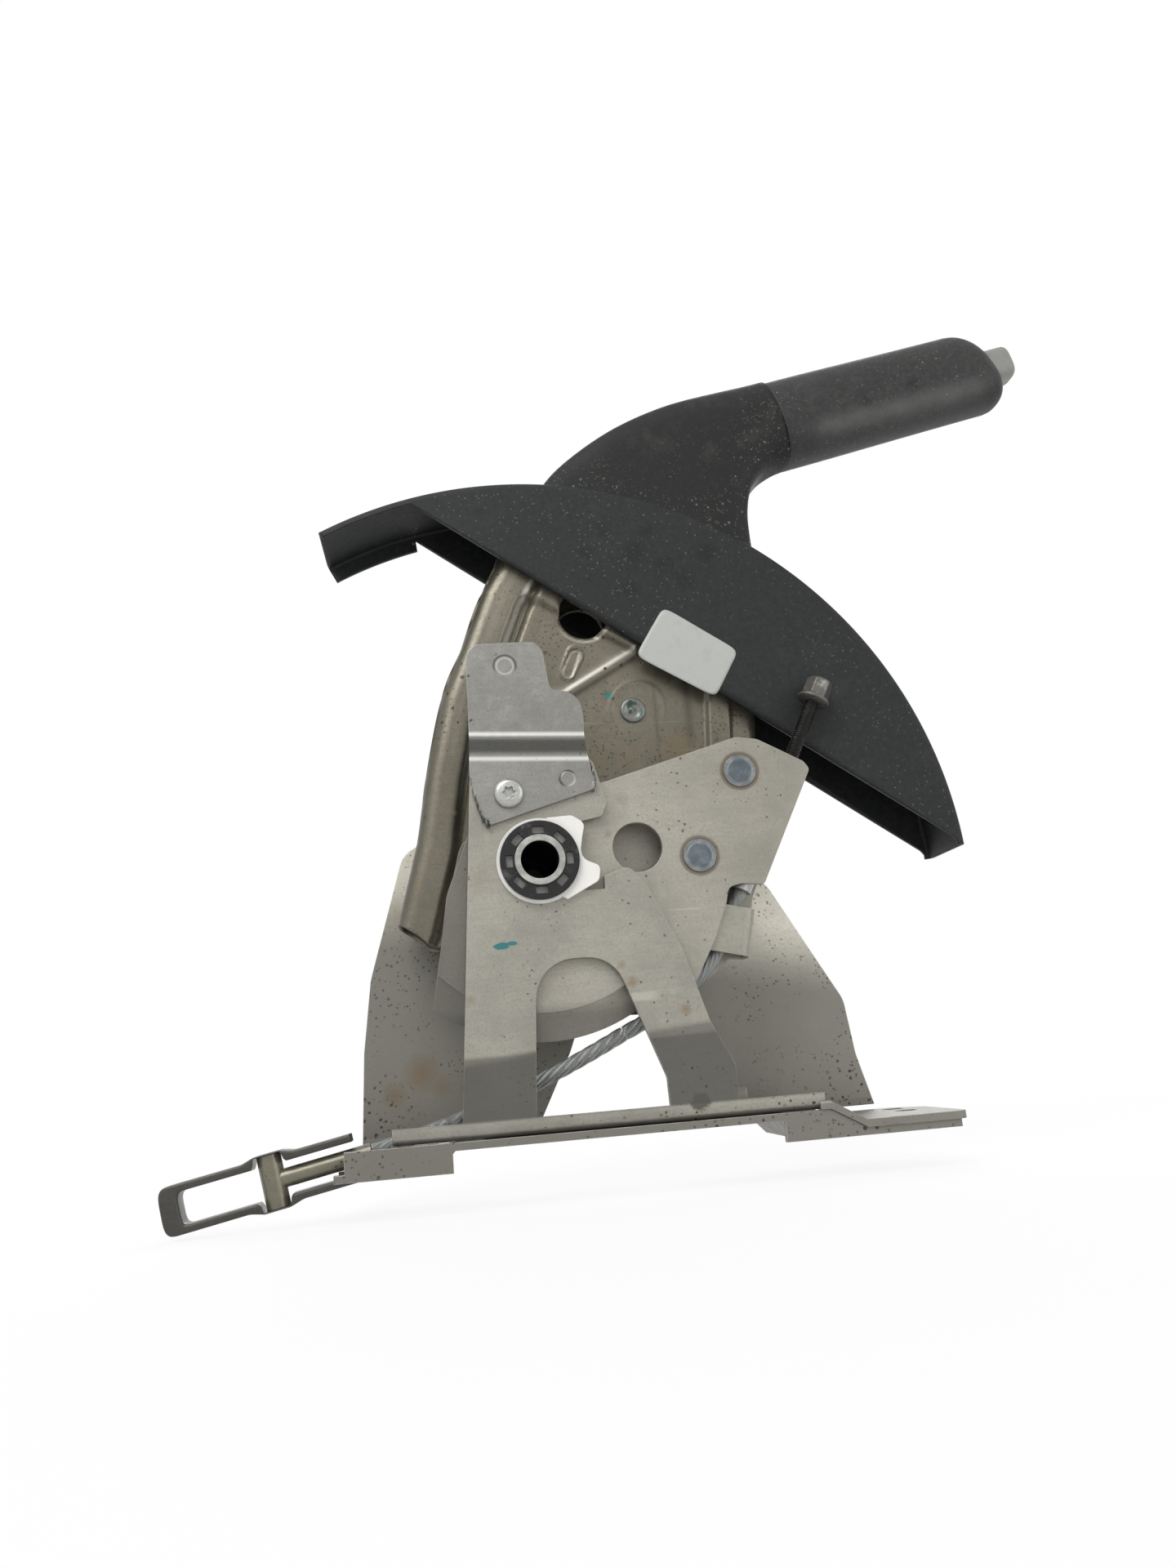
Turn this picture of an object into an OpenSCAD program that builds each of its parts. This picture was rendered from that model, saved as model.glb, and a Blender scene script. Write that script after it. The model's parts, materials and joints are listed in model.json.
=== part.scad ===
// Car parking brake lever: pressed-steel bracket, sector and lever with a moulded cover and grip.
// Millimetres. Origin: middle of the four base bolts, on the underside of the base.
// +X runs along the base towards the grip, +Y away from the adjuster side, +Z up.

/* [Pivot] */
// Height of the pivot above the underside of the base
pivot_h = 115; // [105:1:130]
// Distance of the pivot from the middle of the base bolts
pivot_back = 42; // [34:1:50]
// Outside diameter of the pivot tube
tube_d = 20; // [18:0.5:23]
// Bore of the pivot tube
tube_bore_d = 15.2; // [10:0.2:16]
// Running clearance of the tube in its bushes, on the radius
bush_clear = 0.05; // [0.02:0.01:0.1]
// Wall of the plastic bush in the bracket slot
bush_wall = 2.5; // [1.5:0.1:4]
// Outside diameter of the bush flange
bush_flange_d = 34; // [31:0.5:36]
// Thickness of the bush flange
bush_flange_t = 2.2; // [1.5:0.1:3]
// Outside diameter of the push-on ring
ring_d = 31.4; // [28:0.2:34]
// Thickness of the push-on ring
ring_t = 1.7; // [1:0.1:2.5]
// Number of cut-outs in the push-on ring
ring_slots = 8; // [5:1:10]

/* [Bracket] */
// Sheet thickness of the two brackets
bracket_t = 3; // [2:0.25:4]
// Outer radius of the front bracket's bottom bend
bend_r = 5.5; // [4:0.5:8]
// Height of the raised floor above the underside
floor_h = 8; // [5:0.5:10]
// Inner radius of the rear bracket's bottom bend
cove_r = 9; // [4:0.5:9]
// Inner face of the rear bracket from the lever's middle plane
rear_bracket_y = 22; // [20:0.5:28]
// Gap between the sector and the front bracket
bracket_gap = 1.3; // [1.1:0.1:3]
// Distance between the base bolts along the base
bolt_pitch_x = 210; // [206:1:216]
// Distance between the base bolts across the base
bolt_pitch_y = 16; // [12:1:17]
// Diameter of the base bolt holes
bolt_hole_d = 9; // [6.6:0.1:11]
// Sheet thickness of the cranked switch plate
switch_t = 2; // [1.5:0.1:3]
// How far the switch plate steps towards the front
switch_step = 4.5; // [2:0.5:7]
// Head diameter of the switch plate's screw
screw_head_d = 12; // [10:0.5:14]
// Head height of the switch plate's screw
screw_head_h = 3; // [2:0.1:4]
// Thread diameter of the switch plate's screw
screw_d = 6; // [4:0.5:7]

/* [Lever] */
// Sheet thickness of the lever shells
shell_t = 1.8; // [1.2:0.1:2.5]
// Half thickness of the lever over its ribs
lever_half = 14.5; // [13.5:0.25:15]
// Depth of the recessed middle panel below the ribs
panel_drop = 3; // [1.5:0.25:4]
// Width of the raised rib along the lever's edges
rib_w = 16; // [12:0.5:20]
// Diameter of the round hole in the upper panel
lever_hole_d = 22; // [14:0.5:26]
// Diameter of the pawl pin
pawl_pin_d = 6; // [5:0.5:8]
// Head diameter of the pawl pin
pawl_head_d = 11.2; // [8:0.2:12]
// Thickness of the pawl
pawl_t = 6; // [4:0.5:8]

/* [Ratchet] */
// Tip radius of the ratchet teeth about the pivot
ratchet_r = 65; // [62:0.5:66]
// Depth of a ratchet tooth
tooth_depth = 2.6; // [1.5:0.1:4]
// Angle from one tooth to the next
tooth_pitch = 4; // [3:0.5:6]
// Number of ratchet teeth
tooth_count = 12; // [8:1:14]
// Thickness of the ratchet sector
ratchet_t = 5; // [3:0.5:6]
// Diameter of the spacers that hold the ratchet sector
spacer_d = 11; // [9:0.5:14]

/* [Cable sector] */
// Sheet thickness of the sector's front plate
sector_t = 2.5; // [1.5:0.1:3]
// Sheet thickness of the sector's rear plate
sector_rear_t = 2; // [1.5:0.1:3]
// Clear width between the two sector plates
groove_w = 10; // [9.6:0.1:11]
// Radius of the cable's centre line round the pivot
cable_r = 75; // [74:0.25:77]
// Diameter of the wire rope
cable_d = 6; // [5:0.25:6.5]
// Radius at which the dished rim starts
rim_r0 = 58; // [54:0.5:60]
// Outer radius of the dished rim
rim_r1 = 70; // [66:0.5:70.5]
// How far the dished rim falls back
rim_drop = 6; // [3:0.25:7]
// Head diameter of the sector rivets
rivet_head_d = 14; // [11:0.5:15]
// Height of the sector rivets' heads
rivet_head_h = 0.6; // [0.3:0.1:0.8]
// Shank diameter of the sector rivets
rivet_d = 9; // [7:0.5:10]
// Diameter of the round hole in the sector's front plate
sector_hole_d = 20.4; // [14:0.2:22]

/* [Adjuster and cable end] */
// Thread diameter of the adjuster bolt
bolt_d = 6; // [5:0.25:6.5]
// Flange diameter of the adjuster bolt
bolt_flange_d = 14.2; // [12:0.2:15]
// Width across flats of the adjuster bolt's head
bolt_af = 10; // [8:0.5:11]
// Gap between the adjuster bolt's flange and the cover
bolt_gap = 0.6; // [0.4:0.1:2]
// Outside diameter of the cable ferrule that the bolt screws into
ferrule_d = 9; // [8:0.25:9]
// Diameter of the cable's end shank
shank_d = 7; // [6:0.25:7.5]
// Diameter of the cross barrel
barrel_d = 9; // [7.5:0.25:9.5]
// Length of the cross barrel
barrel_len = 19.6; // [18:0.2:22]
// Strap thickness of the cable link
link_t = 2.5; // [2:0.1:3]
// Strap width of the cable link
link_w = 11; // [10:0.25:11.5]
// Clear height inside the cable link
link_gap = 13; // [12:0.25:14]
// Running clearance of the barrel in the link, on the radius
link_clear = 0.08; // [0.03:0.01:0.1]

/* [Cover and grip] */
// Width of the cover
cover_w = 39; // [38:0.5:42]
// Wall of the cover
cover_wall = 2; // [1.5:0.1:3]
// Outer radius of the cover's arc
cover_r = 185; // [183:0.5:188]
// Height of the grip's section
grip_h = 42; // [38:0.5:44]
// Width of the grip's section
grip_w = 36; // [34:0.5:38]
// Length of the grip
grip_len = 124; // [110:1:126]
// Slope of the grip
grip_slope = 14.5; // [12:0.5:17]
// Outside diameter of the handle tube inside the grip
handle_d = 22; // [20:0.5:24]
// Bore of the handle tube
handle_bore_d = 18.2; // [16:0.1:18.6]
// Running clearance of the button in the handle tube, on the radius
button_clear = 0.1; // [0.05:0.01:0.1]
// How far the button stands out of the grip
button_out = 9.5; // [8:0.5:11]
// Diameter of the release rod
rod_d = 5; // [4:0.25:6]

/* [Hidden] */
$fn = 64;
eps = 0.01;
air = 0.3;
steel = [0.62, 0.61, 0.59];
zinc = [0.80, 0.81, 0.80];
black = [0.12, 0.12, 0.12];

// Planes across the width, worked out from the cover towards the front
cable_y = -(cover_w / 2 + bolt_gap + bolt_flange_d / 2);
sector_y1 = cable_y - groove_w / 2;
sector_y0 = sector_y1 - sector_t;
sector_rear_y = cable_y + groove_w / 2;
front_y1 = sector_y0 - bracket_gap;
front_y0 = front_y1 - bracket_t;
bush_y0 = front_y0 - bush_flange_t;
ring_y0 = bush_y0 - air - ring_t;
tube_y0 = ring_y0 - 0.8;
rear_y1 = rear_bracket_y + bracket_t;
rear_bush_y1 = rear_y1 + bush_flange_t;
rear_ring_y = rear_bush_y1 + air;
tube_y1 = rear_ring_y + ring_t + 0.8;

tube_r = tube_d / 2;
bush_r = tube_r + bush_clear + bush_wall;
slot_r = bush_r + 0.1;
fit = 0.1;

// Heights of the base, from the underside
pad_t = bracket_t;
floor_top = floor_h + bracket_t;
rail_top = floor_top + bend_r;
// Stations along the base, from the pivot: cable end, grip end, steps of the floor, rail and lips
bolt_ahead = 21;
bolt_behind = 11;
base_x0 = pivot_back - bolt_pitch_x / 2 - bolt_ahead;
base_x1 = pivot_back + bolt_pitch_x / 2 + bolt_behind;
step_x0 = -39;
step_x1 = 87.5;
step_run = 7.5;
rail_x0 = -62;
rail_x1 = 104;
tab_x1 = base_x1 + 3;
upright_x0 = -78;
upright_x1 = 144;
// Width of the foot flange, and the lip that the rail shares with the legs
foot_w = 10;
rail_lip = 1;
// Open channel under the cable: where it ends and how wide it is
channel_x1 = -28;
channel_w = 16;

// Adjuster axis: a straight line beside the pivot
axis_slope = 62.7;
axis_off = cable_r + 5.3;
wrap_end = axis_slope - 90;
run_angle = -66.7;
ferrule_s = 24;
nut_s = 79;
head_s = 113.5;

// Grip axis
grip_x = 125.5;
grip_z = 208.7;

// Pawl pin, rivets and spacers, from the pivot
pawl_at = [47.6, 68.5];
lever_hole_at = [29.5, 113.8];
sector_hole_at = [40.4, 4];
rivet_at = [[86, 33.3], [65.6, -1]];
rivet_tail = 1.5;
spacer_at = [[34, -40], [58, -24]];
screw_at = [-10.4, 27.6];

// Cross barrel of the cable and the slope of the link
barrel_at = [-107, 2.5 - pivot_h];
link_slope = 11;
// Free cable: from its tangent point, with a gap to the wound part, to the swaged end, with a sag between
rope_gap = 0.6;
run_start = cable_r * [cos(run_angle), sin(run_angle)] + rope_gap * [sin(run_angle), -cos(run_angle)];
run_end = [-70, 9.8 - pivot_h];
run_sag = 3.3;
run_steps = 7;
run_path = [for (i = [0:run_steps]) let (t = i / run_steps)
    run_start + (run_end - run_start) * t - [0, run_sag * 4 * t * (1 - t)]];

// Points on an arc round c
function arc(c, r, a0, a1, n = 24) =
    [for (i = [0:n]) let (a = a0 + (a1 - a0) * i / n) c + r * [cos(a), sin(a)]];
function unit(v) = v / norm(v);
// Arc that rounds the corner q between p and s
function round_corner(p, q, s, r, n = 6) =
    let (u = unit(p - q), v = unit(s - q), half = acos(u * v) / 2,
        d = min(r / tan(half), 0.49 * norm(p - q), 0.49 * norm(s - q)), rr = d * tan(half),
        c = q + unit(u + v) * rr / sin(half), b = q + u * d - c, e = q + v * d - c,
        a0 = atan2(b[1], b[0]), turn = atan2(b[0] * e[1] - b[1] * e[0], b * e))
    [for (i = [0:n]) c + rr * [cos(a0 + turn * i / n), sin(a0 + turn * i / n)]];
// Outline from corners written as [x, z, radius]
function rounded(pts) = let (n = len(pts))
    [for (i = [0:n - 1])
        let (q = pts[i], p = pts[(i + n - 1) % n], s = pts[(i + 1) % n])
        each (q[2] == 0 ? [[q[0], q[1]]]
            : round_corner([p[0], p[1]], [q[0], q[1]], [s[0], s[1]], q[2]))];

// Extrudes a drawing in X and Z from y to y + t
module sheet(y, t) translate([0, y + t, 0]) rotate([90, 0, 0]) linear_extrude(t) children();
// Extrudes a drawing in Y and Z from x0 to x1
module along_x(x0, x1) translate([x0, 0, 0]) rotate([90, 0, 90]) linear_extrude(x1 - x0) children();
module at_pivot() translate([-pivot_back, 0, pivot_h]) children();
// Round bar across the width, centred on p in X and Z
module bar(p, y0, y1, r) translate([p[0], y1, p[1]]) rotate([90, 0, 0]) cylinder(r = r, h = y1 - y0);
// Places children on the adjuster axis at s from the cable's tangent point, pointing along it
module on_axis(s) translate([axis_off * cos(wrap_end) + s * cos(axis_slope), cable_y,
    axis_off * sin(wrap_end) + s * sin(axis_slope)]) rotate([0, 90 - axis_slope, 0]) children();
// Places children on the grip axis at s from the seam, pointing along it
module on_grip(s) translate([grip_x, 0, grip_z]) rotate([0, 90 - grip_slope, 0])
    translate([0, 0, s]) children();

// Round rope or rod swept along points in one plane of constant y
module sweep(path, y, r, sides = 12) {
    n = len(path);
    function dir(i) = unit(path[min(i + 1, n - 1)] - path[max(i - 1, 0)]);
    pts = [for (i = [0:n - 1], k = [0:sides - 1])
        let (a = 360 * k / sides, d = dir(i))
        [path[i][0] - d[1] * r * cos(a), y + r * sin(a), path[i][1] + d[0] * r * cos(a)]];
    walls = [for (i = [0:n - 2], k = [0:sides - 1]) let (k2 = (k + 1) % sides)
        [i * sides + k, (i + 1) * sides + k, (i + 1) * sides + k2, i * sides + k2]];
    first = [for (k = [0:sides - 1]) k];
    last = [for (k = [sides - 1:-1:0]) (n - 1) * sides + k];
    polyhedron(pts, concat(walls, [first], [last]), convexity = 6);
}

// Outlines of the sheet parts, from the pivot
front_outline = rounded([[-35.8, rail_top - pivot_h, 0], [-25, 42, 3], [24, 42, 5], [28.8, 22, 4],
    [26.5, 16.8, 2], [14, 14.5, 2], [14, -10, 2], [26, -7.2, 2], [35.5, -4, 4], [42, -12, 4],
    [54, -38.5, 10], [62, -67, 8], [70.3, -84, 6], [70.3, rail_top - pivot_h, 0],
    [43.4, rail_top - pivot_h, 0], [43.2, -87, 5], [26, -39, 15], [-4.3, -39, 19],
    [-8, rail_top - pivot_h, 0]]);
rear_outline = rounded([[upright_x0, floor_h - pivot_h, 0], [-76, -68, 20], [-72, -37, 20],
    [-56, 16.5, 12], [-24, 36, 14], [24, 36, 14], [106.5, -6.5, 12], [136, -61, 14], [138.5, -85, 14],
    [upright_x1, floor_h - pivot_h, 0]]);
window_x0 = -6;
window_x1 = 70;
rear_window = rounded([[window_x0, floor_h - pivot_h - 1, 0], [12, -74, 10], [20, -54, 12],
    [54, -54, 12], [window_x1, floor_h - pivot_h - 1, 0]]);
switch_outline = rounded([[-24.2, 86, 0], [-20, 89.5, 2], [4.8, 89.5, 3], [9, 69.5, 2], [16.8, 68, 5],
    [21.5, 61, 4], [21.3, 48, 0], [25.2, 31, 3], [23.5, 27.5, 2], [-18.5, 15.5, 3], [-25.4, 33, 6]]);
lever_left = [[-58, -17.8, 0], [-48.5, 16, 30], [-43.5, 44, 40], [-35, 79, 40], [-14.7, 127, 60],
    [3, 158, 20]];
lever_top = [[30, 180, 20], [74, 206, 20], [116, 218, 0], [122, 196, 6], [106, 168, 14]];
lever_right = [[104, 110, 30], [101, 47, 10], [96, 21, 8]];
lever_foot = [[72, -14, 10], [24, -24, 10], [-30, -26, 8], [-42.4, -28.5, 0]];
lever_foot_rear = [[52, 18, 20], [22, -20, 14], [-24, -24, 12], [-42.4, -28.5, 0]];
panel_outline = rounded([[-34, -40, 0], [-33, 12, 0], [-28, 44, 4], [-16, 74, 8], [20, 77, 6],
    [52, 96, 4], [76, 82, 4], [80, 52, 6], [95, 42, 5], [92, 16, 6], [76, -40, 0]]);

// Brackets

// Front bracket: ear with an open slot for the bush, two legs, bottom bend and stepped tab
module front_bracket() color(steel) at_pivot() difference() {
    union() {
        sheet(front_y0, bracket_t) difference() {
            polygon(front_outline);
            circle(r = slot_r);
            translate([0, -slot_r]) square([slot_r * 2, slot_r * 2 + 2]);
        }
        front_rail();
        front_tab();
    }
    bar(screw_at, front_y0 - 1, front_y1 + 1, screw_d / 2);
}
// Bottom bend and foot flange of the front bracket
bend_c = [front_y0 + bend_r, rail_top];
module front_rail() translate([0, 0, -pivot_h]) difference() {
    along_x(rail_x0, rail_x1) polygon(concat([[front_y0, rail_top + rail_lip]],
        arc(bend_c, bend_r, 180, 270, 8),
        [[bend_c[0] + foot_w, floor_top], [bend_c[0] + foot_w, floor_top + bracket_t]],
        arc(bend_c, bend_r - bracket_t, 270, 180, 8), [[front_y1, rail_top + rail_lip]]));
    translate([rail_x0 - 1, front_y1 + 0.5, floor_top - 1])
        cube([channel_x1 - rail_x0 + 1, bend_r + foot_w, bend_r + 2]);
}
// Sheet of the bracket's thickness on top of a path in X and Z
module band(path) polygon(concat(path, [for (i = [len(path) - 1:-1:0]) path[i] + [0, bracket_t]]));
// Tab at the grip end, stepped down on the floor sheet
tab_path = [[rail_x1 - 2, floor_top], [rail_x1 + 2, floor_top], [rail_x1 + 16, pad_t], [tab_x1, pad_t]];
module front_tab() translate([0, 0, -pivot_h]) intersection() {
    sheet(front_y0, rear_bracket_y - front_y0) band(tab_path);
    linear_extrude(rail_top * 4, center = true) difference() {
        polygon(rounded([[rail_x1 - 4, front_y0, 0], [tab_x1, front_y0, 4], [tab_x1, 8, 3],
            [tab_x1 - 12, 20, 3], [rail_x1 + 16, 20, 4], [rail_x1 + 4, bend_c[0] + foot_w, 6],
            [rail_x1 - 4, bend_c[0] + foot_w, 0]]));
        base_holes();
    }
}
// The four base bolt holes, drawn from the pivot
module base_holes() for (x = [-1, 1], y = [-1, 1])
    translate([pivot_back + x * bolt_pitch_x / 2, y * bolt_pitch_y / 2]) circle(d = bolt_hole_d);

// Rear bracket: upright, raised floor with two bolted ends and turned front lips
floor_path = [[base_x0, 0], [step_x0 - step_run, 0], [step_x0, floor_h], [step_x1, floor_h],
    [step_x1 + step_run, 0], [base_x1, 0]];
module rear_bracket() color(steel) at_pivot() difference() {
    union() {
        rear_upright();
        rear_floor();
        front_lips();
        cove(step_x0, window_x0, floor_top);
        cove(window_x1, step_x1, floor_top);
        cove(upright_x0 + 1, step_x0 - step_run, pad_t);
        cove(step_x1 + step_run, rail_x1 + 13, pad_t);
    }
    translate([0, 0, -pivot_h - 1]) linear_extrude(rail_top * 2) base_holes();
}
module rear_upright() difference() {
    sheet(rear_bracket_y, bracket_t) difference() {
        union() {
            polygon(rear_outline);
            translate([0, -pivot_h]) floor_band(upright_x0, upright_x1);
        }
        polygon(rear_window);
    }
    bar([0, 0], rear_bracket_y - 1, rear_y1 + 1, slot_r);
    for (p = spacer_at) bar(p, rear_bracket_y - 1, rear_y1 + 1, spacer_d / 4 + fit);
}
// Rounded inside of the bend between the upright and the floor
module cove(x0, x1, z) translate([0, 0, -pivot_h]) along_x(x0, x1) polygon(concat(
    [[rear_bracket_y + 1, z + cove_r], [rear_bracket_y + 1, z - 1], [rear_bracket_y - cove_r, z - 1]],
    arc([rear_bracket_y - cove_r, z + cove_r], cove_r, -90, 0, 8)));
// The floor sheet in X and Z, between two stations
module floor_band(x0, x1) intersection() {
    band(floor_path);
    translate([x0, -1]) square([x1 - x0, floor_top + 2]);
}
// Raised floor with its window, the channel under the cable and a cut corner
lip_y = front_y0 + 1;
module rear_floor() translate([0, 0, -pivot_h]) difference() {
    sheet(lip_y, rear_y1 - lip_y) floor_band(base_x0, base_x1);
    translate([0, 0, -1]) linear_extrude(rail_top * 2) {
        polygon(rounded([[step_x0 + 7, -22, 6], [step_x1 - 5.5, -22, 6],
            [step_x1 - 5.5, rear_bracket_y - 6, 6], [step_x0 + 7, rear_bracket_y - 6, 6]]));
        translate([base_x0 - 6, lip_y + bracket_t]) square([channel_x1 - base_x0 + 6, channel_w]);
        translate([upright_x1, rear_bracket_y - 2]) square(rail_top * 2);
    }
}
// Upright lips under the front bracket's rail
module front_lips() translate([0, 0, -pivot_h]) sheet(lip_y, bracket_t) {
    translate([base_x0 + 4, 0]) square([step_x0 - base_x0 - 5, floor_top]);
    polygon([[step_x1, 0], [tab_path[2][0], 0], tab_path[2] - [0, fit], tab_path[1] - [0, fit],
        [step_x1, floor_top - fit]]);
}

// Cranked plate on the front bracket's ear
module switch_plate() color(steel) at_pivot() difference() {
    intersection() {
        sheet(front_y0 - 20, 25) polygon(switch_outline);
        along_x(-40, 40) polygon(concat(
            [[front_y0, 10], [front_y0, 40], [front_y0 - switch_step, 50], [front_y0 - switch_step, 95]],
            [[front_y0 - switch_step - switch_t, 95], [front_y0 - switch_step - switch_t, 49.5],
                [front_y0 - switch_t, 39.5], [front_y0 - switch_t, 10]]));
    }
    bar(screw_at, front_y0 - switch_t - 1, front_y0 + 1, screw_d / 2 + fit);
    // half-round lance near the top
    sheet(front_y0 - switch_step - switch_t - 1, switch_t + 2) translate([-8.6, 80]) difference() {
        circle(r = 4.2);
        circle(r = 3.4);
        translate([-6, -6]) square([12, 5]);
    }
}
module switch_plate_screw() color(zinc) at_pivot() {
    difference() {
        translate([screw_at[0], front_y0 - switch_t, screw_at[1]]) rotate([90, 0, 0]) intersection() {
            cylinder(d = screw_head_d, h = screw_head_h);
            translate([0, 0, screw_head_h - dome_r]) sphere(r = dome_r);
        }
        for (k = [0:2]) translate([screw_at[0], front_y0 - switch_t - screw_head_h, screw_at[1]])
            rotate([0, 60 * k, 0]) cube([5.4, 3, 1.8], center = true);
    }
    bar(screw_at, front_y0 - switch_t, front_y1 + 0.9, screw_d / 2 - fit);
}
dome_r = screw_head_d * 0.9;

// White plastic bush with two wings that close the bracket's slot
module pivot_bush_front() color([0.9, 0.89, 0.86]) at_pivot() difference() {
    union() {
        bar([0, 0], front_y0, front_y1 + 0.8, bush_r);
        bar([0, 0], bush_y0, front_y0, bush_flange_d / 2);
        sheet(bush_y0, bush_flange_t) difference() {
            polygon(rounded([[4, 17, 0], [14, 17.4, 3], [19, 14, 3], [17.5, 8, 2.5], [16, 0, 6],
                [24, -3.6, 2.5], [23, -9.5, 3], [10, -16, 0], [0, -10, 0]]));
            circle(r = bush_r);
        }
    }
    bar([0, 0], bush_y0 - 1, front_y1 + 2, tube_r + bush_clear);
}
module pivot_bush_rear() color([0.9, 0.89, 0.86]) at_pivot() difference() {
    union() {
        bar([0, 0], rear_bracket_y - 0.8, rear_y1, bush_r);
        bar([0, 0], rear_y1, rear_bush_y1, bush_flange_d / 2);
    }
    bar([0, 0], rear_bracket_y - 2, rear_bush_y1 + 1, tube_r + bush_clear);
}

// Toothed sector between the lever shells, held off the rear bracket on two spacers
ratchet_a0 = 29;
ratchet_root = ratchet_r - tooth_depth;
function ray(r, a) = r * [cos(a), sin(a)];
// Saw teeth with their steep face towards the released end, then round the tube and the spacers
ratchet_outline = concat(
    [for (i = [0:tooth_count - 1]) let (a = ratchet_a0 + i * tooth_pitch)
        each [ray(ratchet_root, a), ray(ratchet_r, a + 0.4)]],
    [ray(ratchet_root, ratchet_a0 + tooth_count * tooth_pitch), [2, 40], [-15, 20], [-18, -4]],
    [for (p = spacer_at) p + [-10, -9]],
    [spacer_at[1] + [9, -4], spacer_at[1] + [8, 30]]);
module ratchet_sector() color(steel) at_pivot() sheet(-ratchet_t / 2, ratchet_t) difference() {
    polygon(ratchet_outline);
    circle(r = tube_r + 2);
    for (p = spacer_at) translate(p) circle(r = spacer_d / 4 + fit);
}
module ratchet_rivets() color(zinc) at_pivot() for (p = spacer_at) {
    bar(p, ratchet_t / 2, rear_bracket_y, spacer_d / 2);
    bar(p, -ratchet_t / 2 - rivet_tail, rear_y1 + rivet_tail, spacer_d / 4);
    bar(p, -ratchet_t / 2 - rivet_tail, -ratchet_t / 2, spacer_d / 2);
    bar(p, rear_y1, rear_y1 + rivet_tail, spacer_d / 2);
}

// Lever

// Pressed half of the lever: raised ribs round a recessed panel, walls turned in to the middle
module lever_half_shell(foot) difference() {
    union() {
        difference() {
            sheet(-lever_half, lever_half) lever_outline(foot);
            sheet(-lever_half + shell_t, lever_half) offset(delta = -shell_t) lever_outline(foot);
            sheet(-lever_half - 1, panel_drop + 1) intersection() {
                polygon(panel_outline);
                offset(delta = -shell_t) lever_outline(foot);
            }
        }
        sheet(-lever_half + panel_drop, shell_t) intersection() {
            offset(delta = shell_t) polygon(panel_outline);
            lever_outline(foot);
        }
        sheet(-lever_half, panel_drop + shell_t) intersection() {
            difference() {
                offset(delta = shell_t) polygon(panel_outline);
                polygon(panel_outline);
            }
            lever_outline(foot);
        }
    }
    // open edge round the pivot, where the ratchet sector passes between the halves
    sheet(-lever_half + panel_drop + shell_t, lever_half)
        polygon([[-41, -40], [-26, 12], [40, 30], [92, 60], [140, 40], [110, -40]]);
    bar([0, 0], -lever_half - 1, 1, tube_r + fit);
    bar(lever_hole_at, -lever_half - 1, -lever_half + shell_t + 1, lever_hole_d / 2);
    on_grip(-40) cylinder(d = handle_d + 0.4, h = 60);
    bar(pawl_at, -lever_half - 1, 1, pawl_pin_d / 2 + fit);
}
module lever_outline(foot) polygon(rounded(concat(lever_left, lever_top, lever_right, foot)));
module lever_shell_front() color(steel) at_pivot() difference() {
    lever_half_shell(lever_foot);
    for (p = rivet_at) bar(p, -lever_half - 1, 0, rivet_d / 2 + fit);
}
module lever_shell_rear() color(steel) at_pivot() mirror([0, 1, 0]) lever_half_shell(lever_foot_rear);

// Pivot tube, closed at its rear end
module pivot_tube() color(steel) at_pivot() difference() {
    bar([0, 0], tube_y0, tube_y1, tube_r);
    bar([0, 0], tube_y0 - 1, tube_y1 - tube_end, tube_bore_d / 2);
}
tube_end = 3;
// Push-on rings at both ends of the tube
module push_rings() color(black) at_pivot() for (y = [ring_y0, rear_ring_y]) difference() {
    bar([0, 0], y, y + ring_t, ring_d / 2);
    bar([0, 0], y - 1, y + ring_t + 1, tube_r + eps);
    for (k = [0:ring_slots - 1]) rotate([0, 360 * k / ring_slots, 0])
        translate([tube_r + 0.6, y - 1, -ring_slot_w / 2]) cube([ring_slot_h, ring_t + 2, ring_slot_w]);
}
ring_slot_w = 4.8;
ring_slot_h = 2.8;

// Front plate of the cable sector, with the dished rim below
module sector_front_plate() color(steel) at_pivot() difference() {
    union() {
        sheet(sector_y0, sector_t) polygon(concat(
            arc([0, 0], rim_r0 + 1, rim_a0 + 3, rim_a1 - 2, 24),
            rounded([[51, -56.5, 0], [59.8, -50, 6], [68.4, -35.1, 20], [74.6, -20.7, 2], [76, -14.5, 4],
                [82, -13.4, 2], [91, -14.4, 1.5], [115.8, 32.6, 2.5], [113.5, 36, 2], [95, 46.5, 8],
                [86, 48, 10], [30, 32, 0], [-14, 26, 8], [-27, 14, 10], [-37.2, -10.5, 20],
                concat(rim_edge[0], 20), concat(ray(rim_r0 + 1, rim_a0 + 2), 0)])));
        dished_rim();
    }
    bar([0, 0], sector_y0 - 1, sector_y1 + 1, tube_r + fit);
    bar(sector_hole_at, sector_y0 - 1, sector_y1 + 1, sector_hole_d / 2);
    for (p = rivet_at) bar(p, sector_y0 - 1, sector_y1 + 1, rivet_d / 2 + fit);
}
// Conical rim, turned about the pivot and cut along the plate's straight left edge
rim_a0 = 222.2;
rim_a1 = 308;
rim_edge = [[-40.4, -30.7], [-45, -55.2]];
rim_root = sector_t * 0.15;
module dished_rim() difference() {
    rotate([90, 0, 0]) rotate([0, 0, rim_a0]) rotate_extrude(angle = rim_a1 - rim_a0, $fn = 128)
        polygon([[rim_r0 - 2, -sector_y1 + rim_root], [rim_r0 - 2, -sector_y0 - rim_root],
            [rim_r1, -sector_y0 - rim_drop], [rim_r1, -sector_y1 - rim_drop]]);
    sheet(sector_y0 - 1, sector_t + rim_drop + 2)
        polygon([rim_edge[0], 2 * rim_edge[1] - rim_edge[0], [-rim_r1 * 1.3, rim_edge[0][1]]]);
}

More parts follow.
